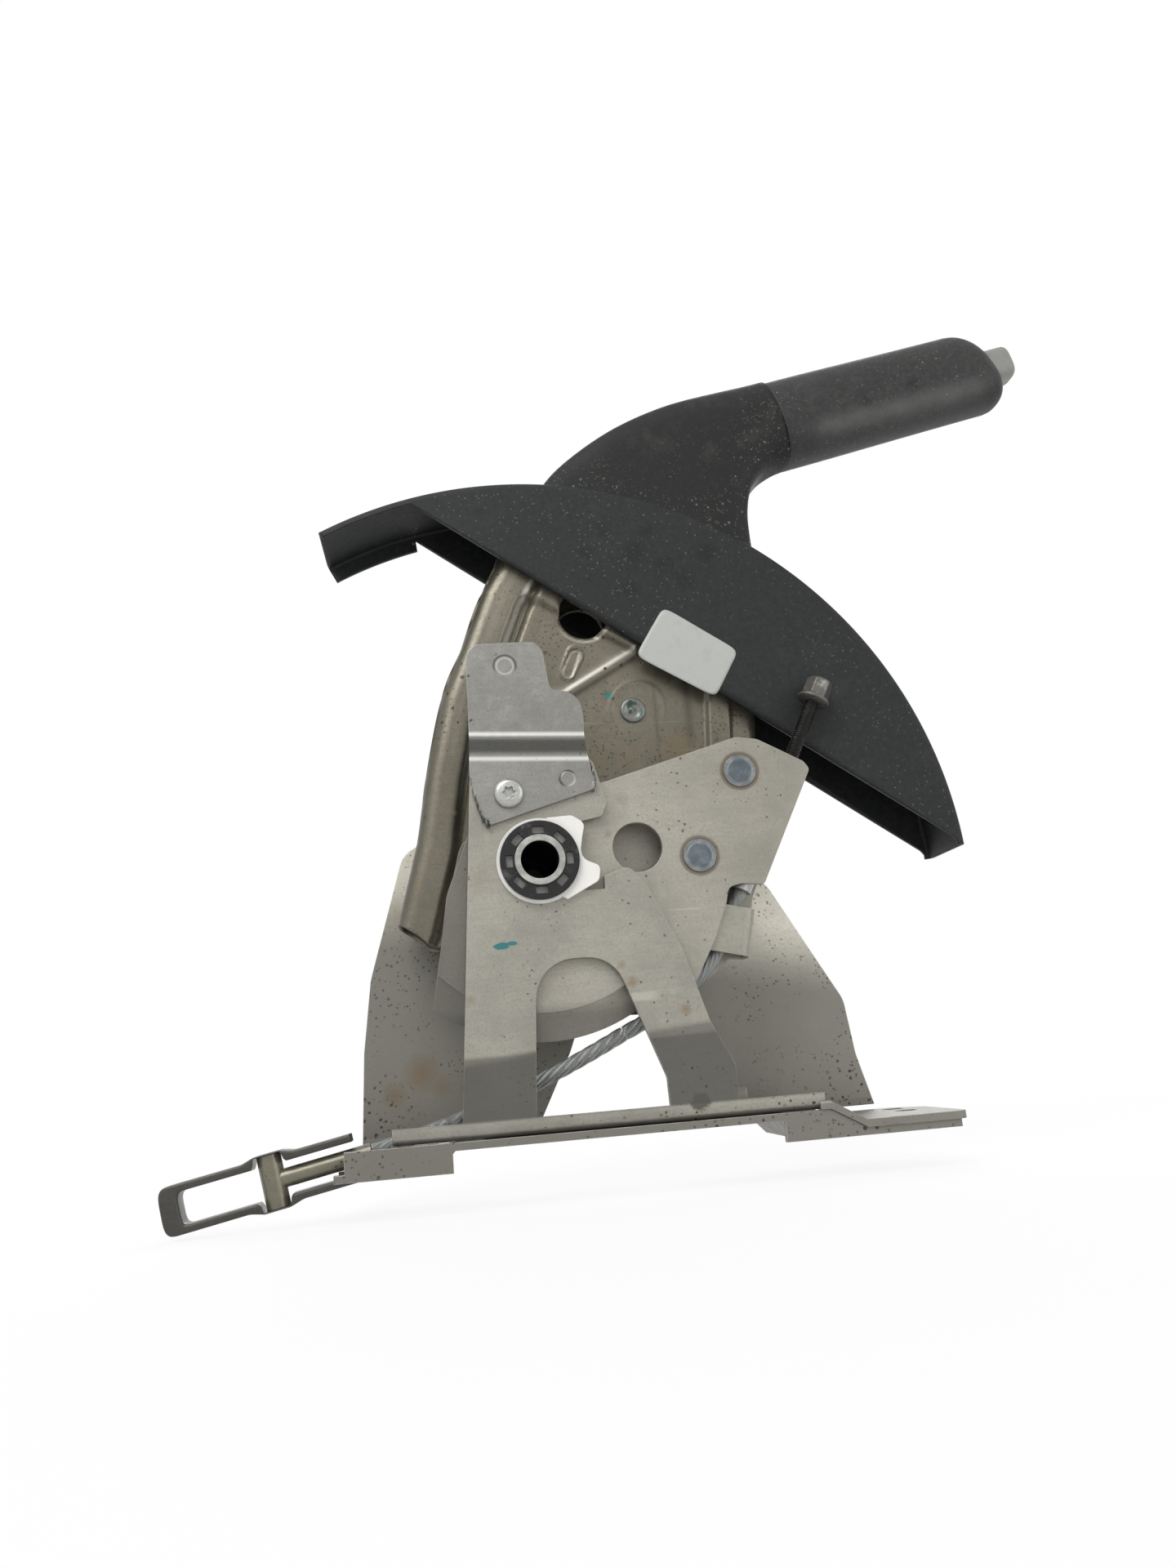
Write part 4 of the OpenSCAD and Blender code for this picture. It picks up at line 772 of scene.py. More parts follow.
def lever_relief(p, rib):
    """Height of the pressed lever over its middle plane.

    A flat panel plus smooth steps of the distance to the outline and to drawn lines: edge rib, raised
    crown, side rib, groove, bead, oblong emboss and arch; the left edge falls in a quarter round.
    """
    left = from_path(p, LEVER_LEFT)
    right = from_path(p, LEVER_RIGHT)
    x, z = p[..., 0], p[..., 1]
    edge_rib = step(left, 18.6, 14.6)
    over_left = from_line(p, (20, 77.2), (50.6, 95.3))
    over_right = from_line(p, (50.6, 95.3), (76, 80))
    crown = step(np.minimum(over_left, over_right), -1.9, 1.9)
    side_rib = step(right, 23.0, 20.5) * step(right, 10.0, 12.5) * step(z, 30, 46)
    height = LEVER_HALF - rib + rib * np.clip(edge_rib + crown + 0.8 * side_rib, 0, 1)
    height = height - 2.2 * bell(left, 20.4, 1.7) * step(z, 44, 74)
    strip = step(left, 22.4, 24.0) * step(left, 29.0, 26.5) * step(z, 66, 86) * step(x, 16, 8)
    height = height + 0.5 * strip
    bead = from_path(p, [(50.6, 95.3), (20, 77.2), (-4, 72)])
    height = height + 0.75 * bell(bead, 0.6, 2.4)
    slot = from_path(p, [(20.6, 86.8), (24.2, 96.0)])
    height = height + 0.60 * bell(slot, 2.9, 0.55) - 0.25 * step(slot, 2.6, 2.0)
    arch = apart(p, LEVER_ARCH)
    height = height + 0.40 * bell(arch, 12.0, 0.9) * step(z, 58, 70)
    ring = apart(p, LEVER_HOLE)
    height = height - 0.7 * step(ring, LEVER_HOLE_R + 2.2, LEVER_HOLE_R)
    roll = 7.0
    fall = np.clip(roll - left, 0, roll)
    height = height - (roll - np.sqrt(np.maximum(roll ** 2 - fall ** 2, 0)))
    turn_in = 4.0
    lip = np.clip(turn_in - right, 0, turn_in)
    return height - (turn_in - np.sqrt(np.maximum(turn_in ** 2 - lip ** 2, 0)))


def lever_painted_light(p):
    """Painted light and shade of the pressed forms: highlights and shadows as bells of the distance to rib, bead,
    emboss, hole and arch
    """
    left = from_path(p, LEVER_LEFT)
    x, z = p[..., 0], p[..., 1]
    painted_light = -0.95 * bell(left, 15.2, 2.3) * step(z, 0, 26) * step(z, 97, 82)
    painted_light = painted_light + 0.95 * bell(left, 17.4, 1.2) * step(z, 92, 104) * step(z, 138, 126)
    painted_light = painted_light - 0.6 * bell(left, 20.6, 1.3) * step(z, 84, 100)
    painted_light = painted_light + 0.2 * bell(left, 9.5, 2.5) * step(z, 30, 60)
    painted_light = painted_light - 0.5 * step(left, 4.5, 1.0)
    bead = from_line(p, (10.0, 72.4), (50.6, 95.3))
    along = step(x, 8, 16) * step(x, 53, 49)
    painted_light = painted_light + along * (1.0 * bell(bead, 1.2, 1.0) - 0.7 * bell(bead, -2.4, 1.4))
    slot = from_path(p, [(20.4, 87.0), (24.6, 94.6)])
    painted_light = painted_light - 0.85 * bell(slot, 3.4, 0.55) + 0.6 * bell(slot, 2.4, 0.5)
    ring = apart(p, LEVER_HOLE)
    painted_light = painted_light + 0.7 * bell(ring, LEVER_HOLE_R + 1.6, 0.8) * step(z, 112, 104)
    arch = apart(p, LEVER_ARCH)
    painted_light = painted_light - 0.4 * bell(arch, 12.6, 0.8) * step(z, 58, 70)
    return painted_light - 0.45 * bell(x, 57.5, 0.9) * step(z, 82, 74) - 0.5 * bell(x, 72.0, 2.5) * step(z, 40, 60)


def open_hole(patch, centre, radius):
    """Moves the grid points inside a circle out on to it, and says which they were"""
    gap = patch - centre
    away = np.linalg.norm(gap, axis=-1)
    inside = away < radius + 0.25
    on_rim = centre + gap * (radius / np.maximum(away, 1e-6))[..., None]
    return np.where(inside[..., None], on_rim, patch), inside


def lever_sheet(name, foot, side, sizes):
    """Pressed half of the lever: a patch between four edges, lifted by the relief, left wall turned in"""
    nu, nv = 190, 240
    patch = coons(curve(foot, nu), curve(LEVER_CROWN, nu), curve(LEVER_LEFT, nv), curve(LEVER_RIGHT, nv))
    patch, in_hole = open_hole(patch, LEVER_HOLE, LEVER_HOLE_R)
    patch, in_tube = open_hole(patch, np.zeros(2), TUBE_HOLE_R)
    height = lever_relief(patch, sizes.rib_height / MM)
    points = upright(patch, side * height)
    shares = np.array([0.03, 0.35, 0.65, 0.85])
    wall = points[:1].repeat(len(shares), 0)
    wall[:, :, 1] = points[0, :, 1] * shares[:, None]
    points = np.concatenate([wall, points], 0)
    gone = np.concatenate([np.zeros((len(shares), nv), bool), in_hole | in_tube], 0)
    drop = gone[1:, 1:] & gone[:-1, 1:] & gone[1:, :-1] & gone[:-1, :-1]
    # Painted light and shade of the pressed forms, none on the turned-in wall
    painted_light = np.concatenate([np.zeros((len(shares), nv)), lever_painted_light(patch)], 0)
    piece = grid_piece(name, points, drop=drop, painted_light=painted_light)
    face_towards(piece, (0, side, 0))
    return sheet(piece, sizes.shell_sheet)


class BRAKE_OT_lever(bpy.types.Operator):
    """Two pressed halves of the lever with ribs, groove and embosses"""
    bl_idname = "brake.lever"
    bl_label = "Pressed lever"

    def execute(self, context):
        """The same pressing twice, the rear one mirrored and on its own foot line"""
        sizes = context.scene.brake_sizes
        front = lever_sheet("lever_front_pressing", LEVER_FOOT, -1, sizes)
        dress(front, "lever", "lever_shell", "lever_steel", "lever_shell_front")
        rear = lever_sheet("lever_rear_pressing", LEVER_FOOT_REAR, 1, sizes)
        dress(rear, "lever", "lever_shell", "lever_steel", "lever_shell_rear")
        return {"FINISHED"}


# Switch plate on the bracket's ear

SWITCH_LEFT = [(-18.5, 15.6), (-21.5, 18.5), (-25.3, 32.8), (-25.0, 48), (-24.6, 66), (-24.2, 84),
               (-20.5, 89.4)]
SWITCH_RIGHT = [(23.4, 27.7), (25.0, 31.5), (22.9, 40), (21.3, 48), (21.4, 57), (20.2, 63.5), (16, 67.6),
                (11, 68.6), (8.7, 71), (7.6, 80), (6.6, 86), (3.6, 89.4)]
SWITCH_DOT, SWITCH_ARCH = np.array([13.6, 32.6]), np.array([-8.8, 79.8])
SWITCH_SHEET, SWITCH_WALL, SWITCH_CRANK = 2.0, 1.95, 4.5
SCREW_AT = (-10.4, 27.6)


def switch_relief(p):
    """Distance of the plate in front of the bracket: a step for the crank, and for the dot and the arch"""
    crank = SWITCH_CRANK * step(p[..., 1] + 0.05 * p[..., 0], 42.6, 49.6)
    dot = apart(p, SWITCH_DOT)
    crank = crank + 0.9 * step(dot, 3.3, 2.8) * step(p[..., 0] - p[..., 1], -15.5, -20.5)
    arch = apart(p, SWITCH_ARCH)
    return crank + 0.9 * step(arch, 4.6, 4.0) * step(p[..., 1], 74.0, 80.5)


def switch_painted_light(p):
    """Painted light and shade of the plate: painted highlights along both bends, painted shade between them and
    round dot and arch
    """
    up = p[..., 1] + 0.05 * p[..., 0]
    painted_light = 0.85 * bell(up, 50.6, 1.0) - 0.75 * step(up, 42.8, 45.0) * step(up, 50.0, 47.6)
    painted_light = painted_light + 0.8 * bell(up, 41.6, 1.1)
    dot = apart(p, SWITCH_DOT)
    painted_light = painted_light - 0.9 * bell(dot, 3.3, 0.45) * step(p[..., 0] - p[..., 1], -14.0, -20.0)
    painted_light = painted_light + 0.5 * bell(dot, 3.0, 0.5) * step(p[..., 0] - p[..., 1], -20.0, -15.0)
    arch = apart(p, SWITCH_ARCH)
    return painted_light - 0.9 * bell(arch, 4.5, 0.5) * step(p[..., 1], 76.0, 79.5) + 0.4 * bell(arch, 3.4, 0.6)


class BRAKE_OT_switch_plate(bpy.types.Operator):
    """Cranked switch plate with its six-lobe screw"""
    bl_idname = "brake.switch_plate"
    bl_label = "Switch plate"

    def execute(self, context):
        """Patch between four edges, each point as far forward as the relief says"""
        low, high = (c[1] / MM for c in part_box("switch_plate"))
        front = high - SWITCH_SHEET
        nu, nv = 150, 240
        bottom = [SWITCH_LEFT[0], (-16.5, 15.9), (3, 21.6), (21.4, 26.9), SWITCH_RIGHT[0]]
        top = [SWITCH_LEFT[-1], (-18, 89.6), (-8, 89.7), (1.5, 89.6), SWITCH_RIGHT[-1]]
        patch = coons(curve(bottom, nu), curve(top, nu), curve(SWITCH_LEFT, nv), curve(SWITCH_RIGHT, nv))
        depth = np.maximum(front - switch_relief(patch), low + 0.02)
        points = upright(patch, depth)
        # Painted highlights along the crank's bends and painted shade between them, carried on the mesh
        plate = face_towards(grid_piece("switch_plate_sheet", points, painted_light=switch_painted_light(patch)), (0, -1, 0))
        sheet(plate, SWITCH_WALL * MM)
        dress(plate, "bracket", "switch_plate", "bracket_steel", "switch_plate")
        self.screw(front)
        return {"FINISHED"}

    def screw(self, seat):
        """Pan head turned from a rounded profile, sunk where the radius is under a six-lobe curve"""
        shank = [(0.02, -5.9), (2.7, -5.9), (2.9, -5.6), (2.9, -0.05)]
        rim = [(3.2, 0.0), (6.0, 0.0), (6.0, 0.9), (5.85, 1.5), (5.5, 2.05), (5.0, 2.4), (4.4, 2.62)]
        flat = [(r, 2.98 - 0.018 * r * r) for r in np.linspace(4.2, 0.02, 44)]

        def lobes(r, h, turn):
            """Lowers the head inside a radius that swings six times per turn"""
            edge = 2.20 + 0.45 * np.cos(6 * turn)
            sunk = step(r, edge + 0.10, edge - 0.10) * (h > 2.0)
            return r, h - 1.9 * sunk
        centre = (SCREW_AT[0], seat, SCREW_AT[1])
        head = lathe("switch_screw", shank + rim + flat, centre, (0, -1, 0), 96, lobes)
        dress(head, "bracket", "bright_zinc", "bright_zinc", "switch_plate_screw")


# Cover, neck and grip

COVER_CENTRE = np.array([1.0, -10.0])
COVER_R = 185.0
COVER_HALF = 19.5
CHORD = np.array([[-44.0, 166.3], [187.3, -1.6]])
WALL_FROM = math.radians(104.3)
BAND_FROM, BAND_TO = math.radians(2.9), math.radians(117.4)
WING_LIP = 9.2
NECK_UPPER = [(4, 158), (12, 172.5), (24, 186.5), (47, 203), (72.5, 215.3), (98, 223.5), (123.4, 230.6)]
NECK_LOWER = [(110.5, 136), (109.8, 150), (110.2, 162), (113.2, 173), (119.5, 181.6), (127, 186.4),
              (134.2, 189.2)]
LABEL_CORNERS = np.array([(49.6, 90.8), (64.0, 112.9), (95.4, 91.0), (83.0, 70.2)])
LABEL_SHEET = 0.12


def chord_radius(angle):
    """Distance from the arc's centre to the cover's straight lower edge, along a ray"""
    d = CHORD[1] - CHORD[0]
    n = np.array([-d[1], d[0]]) / np.linalg.norm(d)
    reach = (CHORD[0] - COVER_CENTRE) @ n
    return reach / (np.cos(angle) * n[0] + np.sin(angle) * n[1])


class BRAKE_OT_cover(bpy.types.Operator):
    """Half-moon cover with rounded edges, the neck that rises from it and the blank label"""
    bl_idname = "brake.cover"
    bl_label = "Cover and neck"

    def execute(self, context):
        """Cover, neck and label one after the other"""
        sizes = context.scene.brake_sizes
        self.cover(sizes)
        self.neck(sizes)
        self.label()
        return {"FINISHED"}

    def cover(self, sizes):
        """Section up the wall from its lower edge, round the fillet and over the band, along the arc"""
        fillet = sizes.cover_fillet / MM
        angle = np.concatenate([np.linspace(BAND_FROM, WALL_FROM - 0.004, 150),
                                np.linspace(WALL_FROM, BAND_TO, 26)])
        no_wall = COVER_R - fillet - 0.4
        deep = np.minimum(chord_radius(angle), no_wall)
        bend = np.linspace(0, np.pi / 2, 9)[None, 1:]

        def half(foot):
            """Radius and distance from the middle plane, from the lower edge to the end of the fillet"""
            climb = np.linspace(0, 1, 16)[None, :]
            wall_r = foot[:, None] + climb * (COVER_R - fillet - foot[:, None])
            bend_r = COVER_R - fillet + fillet * np.sin(bend) + 0 * foot[:, None]
            bend_y = COVER_HALF - fillet + fillet * np.cos(bend) + 0 * foot[:, None]
            return np.concatenate([wall_r, bend_r], 1), np.concatenate([0 * wall_r + COVER_HALF, bend_y], 1)
        front_r, front_y = half(np.where(angle < WALL_FROM, deep, no_wall))
        rear_r, rear_y = half(np.where(angle < WALL_FROM, deep, COVER_R - WING_LIP))
        across = np.linspace(-1, 1, 11)[None, 1:-1] * (COVER_HALF - fillet) + 0 * angle[:, None]
        r = np.concatenate([front_r, COVER_R + 0 * across, rear_r[:, ::-1]], 1)
        y = np.concatenate([-front_y, across, rear_y[:, ::-1]], 1)
        points = np.stack([COVER_CENTRE[0] + r * np.cos(angle)[:, None], y,
                           COVER_CENTRE[1] + r * np.sin(angle)[:, None]], -1)
        piece = face_towards(grid_piece("cover_shell", points), (0.5, 0, 0.8))
        sheet(piece, sizes.cover_wall)
        dress(piece, "lever", "black_plastic", "black_plastic", "cover")

    def neck(self, sizes):
        """Super-elliptic rings between the neck's upper and lower outline, squarer at the cover"""
        upper = curve(NECK_UPPER, 60)
        lower = curve(NECK_LOWER, 60)
        t = np.linspace(0, 1, 60)[:, None]
        across, aside = super_ellipse(2.0 / (6.0 - 3.6 * step(t, 0.35, 1.0)), 96)
        half = 17.2 + 0.8 * step(t, 0.2, 0.9)
        middle, reach = (upper + lower) / 2, (upper - lower) / 2
        points = np.stack([middle[:, :1] + reach[:, :1] * across, half * aside,
                           middle[:, 1:] + reach[:, 1:] * across], -1)
        piece = grid_piece("cover_neck", points, wrap_v=True)
        sheet(piece, sizes.cover_wall)
        dress(piece, "lever", "neck_plastic", "black_plastic", "cover")

    def label(self):
        """Thin rounded tile on the cover's front wall, one corner a touch raised"""
        corners = LABEL_CORNERS
        u, v = np.meshgrid(np.linspace(-1, 1, 28), np.linspace(-1, 1, 28), indexing="ij")
        size = (np.abs(u) ** 10 + np.abs(v) ** 10) ** (1 / 10)
        k = np.maximum(np.abs(u), np.abs(v)) / np.maximum(size, 1e-6)
        u, v = u * k, v * k
        p = (corners[0] * ((1 - u) * (1 - v))[..., None] + corners[1] * ((1 - u) * (1 + v))[..., None]
             + corners[2] * ((1 + u) * (1 + v))[..., None] + corners[3] * ((1 + u) * (1 - v))[..., None]) / 4
        lift = 0.14 + 0.25 * np.clip(u + v - 1.2, 0, 1)
        points = upright(p, -COVER_HALF - lift)
        piece = face_towards(grid_piece("blank_label", points), (0, -1, 0))
        sheet(piece, LABEL_SHEET * MM)
        dress(piece, "lever", "label", "black_plastic")


GRIP_SEAM, GRIP_END, GRIP_TAPER, GRIP_BORE = 4.6, 118.6, 0.965, 0.505
BUTTON_FOOT, BUTTON_FACE, BUTTON_DOME = 108.0, 129.2, 3.4
BUTTON_UP, BUTTON_ASIDE, BUTTON_STEM = 8.5, 7.9, 0.25


def along_grip(s, up, y):
    """Point at s along the grip's axis, up across it in the lever's plane and y aside"""
    c, n = math.cos(GRIP_SLOPE), math.sin(GRIP_SLOPE)
    return np.stack([GRIP_FOOT[0] + s * c - up * n, y, GRIP_FOOT[1] + s * n + up * c], -1)


class BRAKE_OT_grip(bpy.types.Operator):
    """Oval grip with a rounded end, and the release button in it"""
    bl_idname = "brake.grip"
    bl_label = "Grip and button"

    def execute(self, context):
        """Grip from half its height and half its width, then the button"""
        sizes = context.scene.brake_sizes
        self.grip(sizes.grip_height / MM / 2, sizes.grip_width / MM / 2)
        self.button()
        return {"FINISHED"}

    def grip(self, high, wide):
        """Super-elliptic rings along the axis, closed on themselves.

        A fine seam, a slow taper, a quarter round that is larger above than below, then the bore back to
        the seam.
        """
        up, aside = super_ellipse(2.0 / 2.35, 96)
        tall = np.cos(round_turn(96))[None, :]
        end, radius = GRIP_END - 3.2 * tall, 11.5 + 4.0 * tall
        t = np.linspace(0, 1, 56)[:, None]
        body = GRIP_SEAM + (end - radius - GRIP_SEAM) * t
        body_k = 1.0 - (1.0 - GRIP_TAPER) * step(t, 0, 1) + 0 * tall
        end_k = np.linspace(GRIP_TAPER, 0.53, 24)[1:, None] + 0 * tall
        fall = np.clip((GRIP_TAPER - end_k) * high / radius, 0, 1)
        curl = end - radius + radius * np.sqrt(1 - (1 - fall) ** 2)
        lead_s = np.array([3.60, 3.72, 4.05])[:, None] + 0 * tall
        lead_k = np.array([0.980, 0.991, 0.998])[:, None] + 0 * tall
        bore_s = np.array([116.0, 108.0])[:, None] + 0 * tall
        s = np.concatenate([lead_s, body, curl, bore_s], 0)
        k = np.concatenate([lead_k, body_k, end_k, 0 * bore_s + GRIP_BORE], 0)
        rise = up * high * k
        y = aside * wide * k * (1 - 0.05 * rise / high)
        # Painted highlight: a bright band along the lower front of the grip, faded towards both ends
        painted_shine = 0.6 * bell(rise / high, -0.66, 0.24) * step(aside, 0.1, -0.3)
        painted_shine = painted_shine * step(s, 2, 30) * step(s, 120, 100)
        piece = grid_piece("grip_sleeve", along_grip(s, rise, y), wrap_u=True, wrap_v=True, painted_light=painted_shine)
        dress(piece, "lever", "grip_plastic", "grip_plastic", "grip")

    def button(self):
        """Rounded-square plunger on a thin stem: super-elliptic rings with a chamfered, slightly domed end"""
        curl = np.linspace(0, np.pi / 2, 14)[1:]
        stem = [BUTTON_FOOT - 8.0, BUTTON_FOOT - 0.2]
        s = np.concatenate([stem, np.linspace(BUTTON_FOOT, BUTTON_FACE, 16),
                            BUTTON_FACE + BUTTON_DOME * np.sin(curl)])[:, None]
        k = np.concatenate([[BUTTON_STEM] * 2, np.ones(16), 0.40 + 0.60 * np.cos(curl) ** 0.5])[:, None]
        k[-1] = 0.02
        up, aside = super_ellipse(2.0 / 3.4, 72)
        points = along_grip(s + 0 * up, BUTTON_UP * k * up, BUTTON_ASIDE * k * aside)
        piece = grid_piece("button_plunger", points, wrap_v=True, caps=True)
        dress(piece, "button", "button_plastic", "button_plastic", "release_button")


# Cable

RUN_START, RUN_STOP, RUN_SAG = np.array([29.11, -69.12]), np.array([-70.0, -105.2]), 3.3
RUN_ANGLE, WRAP_END = math.radians(-66.7), math.radians(-27.3)
WRAP_R, AXIS_R = 75.0, 80.3


def rope(name, path, sizes):
    """Lobed section, one lobe a strand, carried along a path in the cable's plane and turned once per lay"""
    path = np.asarray(path, float)
    tangent = np.gradient(path, axis=0)
    tangent /= np.linalg.norm(tangent, axis=1)[:, None]
    normal = np.stack([-tangent[:, 1], tangent[:, 0]], 1)
    run = run_along(path)[:, None]
    strands = sizes.rope_strands
    radius = sizes.rope_diameter / MM / 2
    turn = round_turn(strands * 12)[None, :]
    twist = turn + 2 * np.pi * run / (sizes.rope_lay / MM)
    r = radius * (0.80 + 0.20 * np.abs(np.sin(strands * turn / 2)) ** 0.55) + 0 * run
    points = np.stack([path[:, :1] + normal[:, :1] * r * np.cos(twist), CABLE_Y + r * np.sin(twist),
                       path[:, 1:] + normal[:, 1:] * r * np.cos(twist)], -1)
    uv = np.stack([turn / (2 * np.pi) * strands + 0 * run, run / 4.0 + 0 * turn], -1)
    return grid_piece(name, points, wrap_v=True, caps=True, uv=uv)


class BRAKE_OT_cable(bpy.types.Operator):
    """Wire rope round the sector and along its free run"""
    bl_idname = "brake.cable"
    bl_label = "Wire rope"

    def execute(self, context):
        """The wound part, then the free run"""
        sizes = context.scene.brake_sizes
        self.wound(sizes)
        self.free(sizes)
        return {"FINISHED"}

    def wound(self, sizes):
        """Arc whose radius eases from the groove's to the adjuster's, then straight along the adjuster"""
        t = np.linspace(0, 1, 90)
        angle = RUN_ANGLE + (WRAP_END - RUN_ANGLE) * t
        radius = WRAP_R + (AXIS_R - WRAP_R) * step(t, 0, 1)
        bend = np.stack([radius * np.cos(angle), radius * np.sin(angle)], 1)
        ahead = np.array([math.cos(BOLT_SLOPE), math.sin(BOLT_SLOPE)])
        straight = BOLT_FOOT + np.linspace(0, 33, 50)[1:, None] * ahead
        wrap = rope("rope_on_sector", np.vstack([bend, straight]), sizes)
        wrap.data.materials.append(FINISHES["wire_rope"])
        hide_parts("cable_wrap")
        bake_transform(wrap)

    def free(self, sizes):
        """Straight line from the sector to the swaged end, with a parabola's sag"""
        t = np.linspace(0, 1, 150)[:, None]
        path = RUN_START + (RUN_STOP - RUN_START) * t - np.array([0, RUN_SAG]) * 4 * t * (1 - t)
        run = rope("rope_run", path, sizes)
        dress(run, "cable", "wire_rope", "wire_rope", "cable_run")
        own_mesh(run)


LINK_OUTER, LINK_INNER, LINK_ASIDE, LINK_SLOT = 9.0, 6.0, 5.4, -29.6


class BRAKE_OT_link(bpy.types.Operator):
    """Strap link: one strip bent round, with a broad end and humps over the cross barrel"""
    bl_idname = "brake.link"
    bl_label = "Strap link"

    def execute(self, context):
        """Rounded strip between an outer and an inner outline, both with squared ends"""
        joint = JOINTS["link_swing"]
        up = np.array([joint["axis"][0], joint["axis"][2]])
        ahead = np.array([up[1], -up[0]])
        middle = (np.array(joint["pos_m"]) - PIVOT)[[0, 2]] / MM
        run = np.linspace(31.0, -33.0, 90)
        hump = step(np.abs(run), 11.0, 4.0)
        outer_top = np.stack([run, LINK_OUTER + 1.45 * hump], 1)
        eye = step(np.abs(run), 6.2, 4.9)
        inner_top = np.stack([np.maximum(run, LINK_SLOT), LINK_INNER + 3.85 * eye], 1)
        turn = np.linspace(np.pi / 2, 3 * np.pi / 2, 42)[1:-1]
        along, rise = np.cos(turn), power_of(np.sin(turn), 0.5)
        outer_end = np.stack([-34.2 + 6.7 * power_of(along, 0.45), LINK_OUTER * rise], 1)
        inner_end = np.stack([LINK_SLOT + 4.2 * power_of(along, 0.5), LINK_INNER * rise], 1)
        flip = np.array([1.0, -1.0])
        outer = np.concatenate([outer_top, outer_end, outer_top[::-1] * flip])
        inner = np.concatenate([inner_top, inner_end, inner_top[::-1] * flip])
        across, aside = super_ellipse(2.0 / 7.0, 32)
        plane = (outer + inner)[:, None] / 2 + (outer - inner)[:, None] / 2 * across[..., None]
        flat = middle + plane[..., :1] * ahead + plane[..., 1:] * up
        y = CABLE_Y + LINK_ASIDE * aside + 0 * plane[..., 0]
        piece = grid_piece("strap_link", upright(flat, y), wrap_v=True, caps=True)
        dress(piece, "link", "link_steel", "bracket_steel", "cable_link")
        return {"FINISHED"}


# Fasteners

THREAD_FROM, BOLT_SEAT = 38.0, 113.5
PIN_AT = (47.6, 0, 68.5)


class BRAKE_OT_fasteners(bpy.types.Operator):
    """Adjuster bolt with its thread, sector rivets and the pawl pin"""
    bl_idname = "brake.fasteners"
    bl_label = "Bolt, rivets and pin"

    def execute(self, context):
        """Bolt, both rivets and the pin"""
        self.bolt(context.scene.brake_sizes.thread_pitch / MM)
        for number, (x, z) in enumerate(RIVETS):
            self.rivet(number, x, z)
        self.pin()
        return {"FINISHED"}

    def bolt(self, pitch):
        """Thread whose radius swings with height less turn over a pitch; flange and a chamfered hexagon"""
        axis = (math.cos(BOLT_SLOPE), 0, math.sin(BOLT_SLOPE))
        foot = (BOLT_FOOT[0], CABLE_Y, BOLT_FOOT[1])
        seat, thread_end = BOLT_SEAT, BOLT_SEAT - 0.4
        height = np.concatenate([[THREAD_FROM], np.arange(THREAD_FROM + 0.2, thread_end, pitch / 6), [seat]])

        def ridges(r, h, turn):
            """Triangle wave of the height less the turn, between root and crest"""
            wave = np.abs(((h / pitch - turn / (2 * np.pi)) % 1.0) - 0.5) * 2
            return np.where((h > THREAD_FROM + 0.1) & (h < thread_end), 2.98 - 0.58 * wave, r), h
        shank = lathe("adjuster_thread", [(3.0, h) for h in height], foot, axis, 40, ridges)
        dress(shank, "lever", "thread_metal", "black_metal", "adjuster_bolt")
        flange = [(0.02, -0.6), (2.6, -0.6), (6.8, -0.1), (7.05, 0.2), (7.08, 0.8), (6.8, 1.3), (6.2, 1.7),
                  (5.77, 2.0)]
        hexes = [(5.77, h) for h in (2.4, 4.0, 6.0, 8.0, 8.6)]
        top = [(5.72, 9.0), (5.1, 9.75), (4.4, 9.95), (4.1, 9.4), (2.0, 9.3), (0.02, 9.3)]

        def hexagon(r, h, turn):
            """Radius held inside a hexagon above the flange"""
            flat = 5.0 / np.cos((turn % (np.pi / 3)) - np.pi / 6)
            return np.where((h > seat + 1.9) & (r > 4.9), np.minimum(r, flat), r), h
        profile = [(r, seat + h) for r, h in flange + hexes + top]
        cap = lathe("adjuster_head", profile, foot, axis, 96, hexagon)
        dress(cap, "lever", "bolt_metal", "black_metal")

    def rivet(self, number, x, z):
        """Turned rivet: closed tail, spacers between the plates and a low head with a dished middle"""
        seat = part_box("sector_front_plate")[0][1] / MM
        body = [(0.02, -26.5), (7.0, -26.5), (7.0, -25.0), (4.5, -25.0), (4.5, -23.2), (6.5, -23.2),
                (6.5, -14.5), (4.5, -14.5), (4.5, -12.5), (6.5, -12.5), (6.5, -2.5), (4.5, -2.5), (4.5, 0.0)]
        rim = [(7.0, 0.0), (7.0, 0.22), (6.8, 0.36), (6.3, 0.40), (5.5, 0.38), (5.2, 0.48), (4.9, 0.57),
               (4.4, 0.59)]
        top = [(r, 0.58 - 0.16 * (1 - (r / 4.2) ** 2)) for r in np.linspace(4.2, 0.02, 10)]
        piece = lathe(f"sector_rivet_{number + 1}", body + rim + top, (x, seat, z), (0, -1, 0), 72)
        dress(piece, "lever", "rivet_steel", "rivet_steel", "sector_rivets")

    def pin(self):
        """Pin turned with two like heads: a flat ring round a dimple with a small pip"""
        ring = [(3.0, 11.5), (5.5, 11.5), (5.6, 12.0), (5.3, 12.4), (4.7, 12.6), (4.0, 12.65), (3.4, 12.5),
                (3.0, 12.2)]
        middle = [(2.4, 12.05), (1.6, 12.05), (1.2, 12.3), (0.7, 12.5), (0.02, 12.55)]
        half = ring + middle
        profile = [(r, -h) for r, h in half[::-1]] + half
        piece = lathe("pawl_pin_riveted", profile, PIN_AT, (0, -1, 0), 64)
        dress(piece, "lever", "pin_steel", "rivet_steel", "pawl_pin")


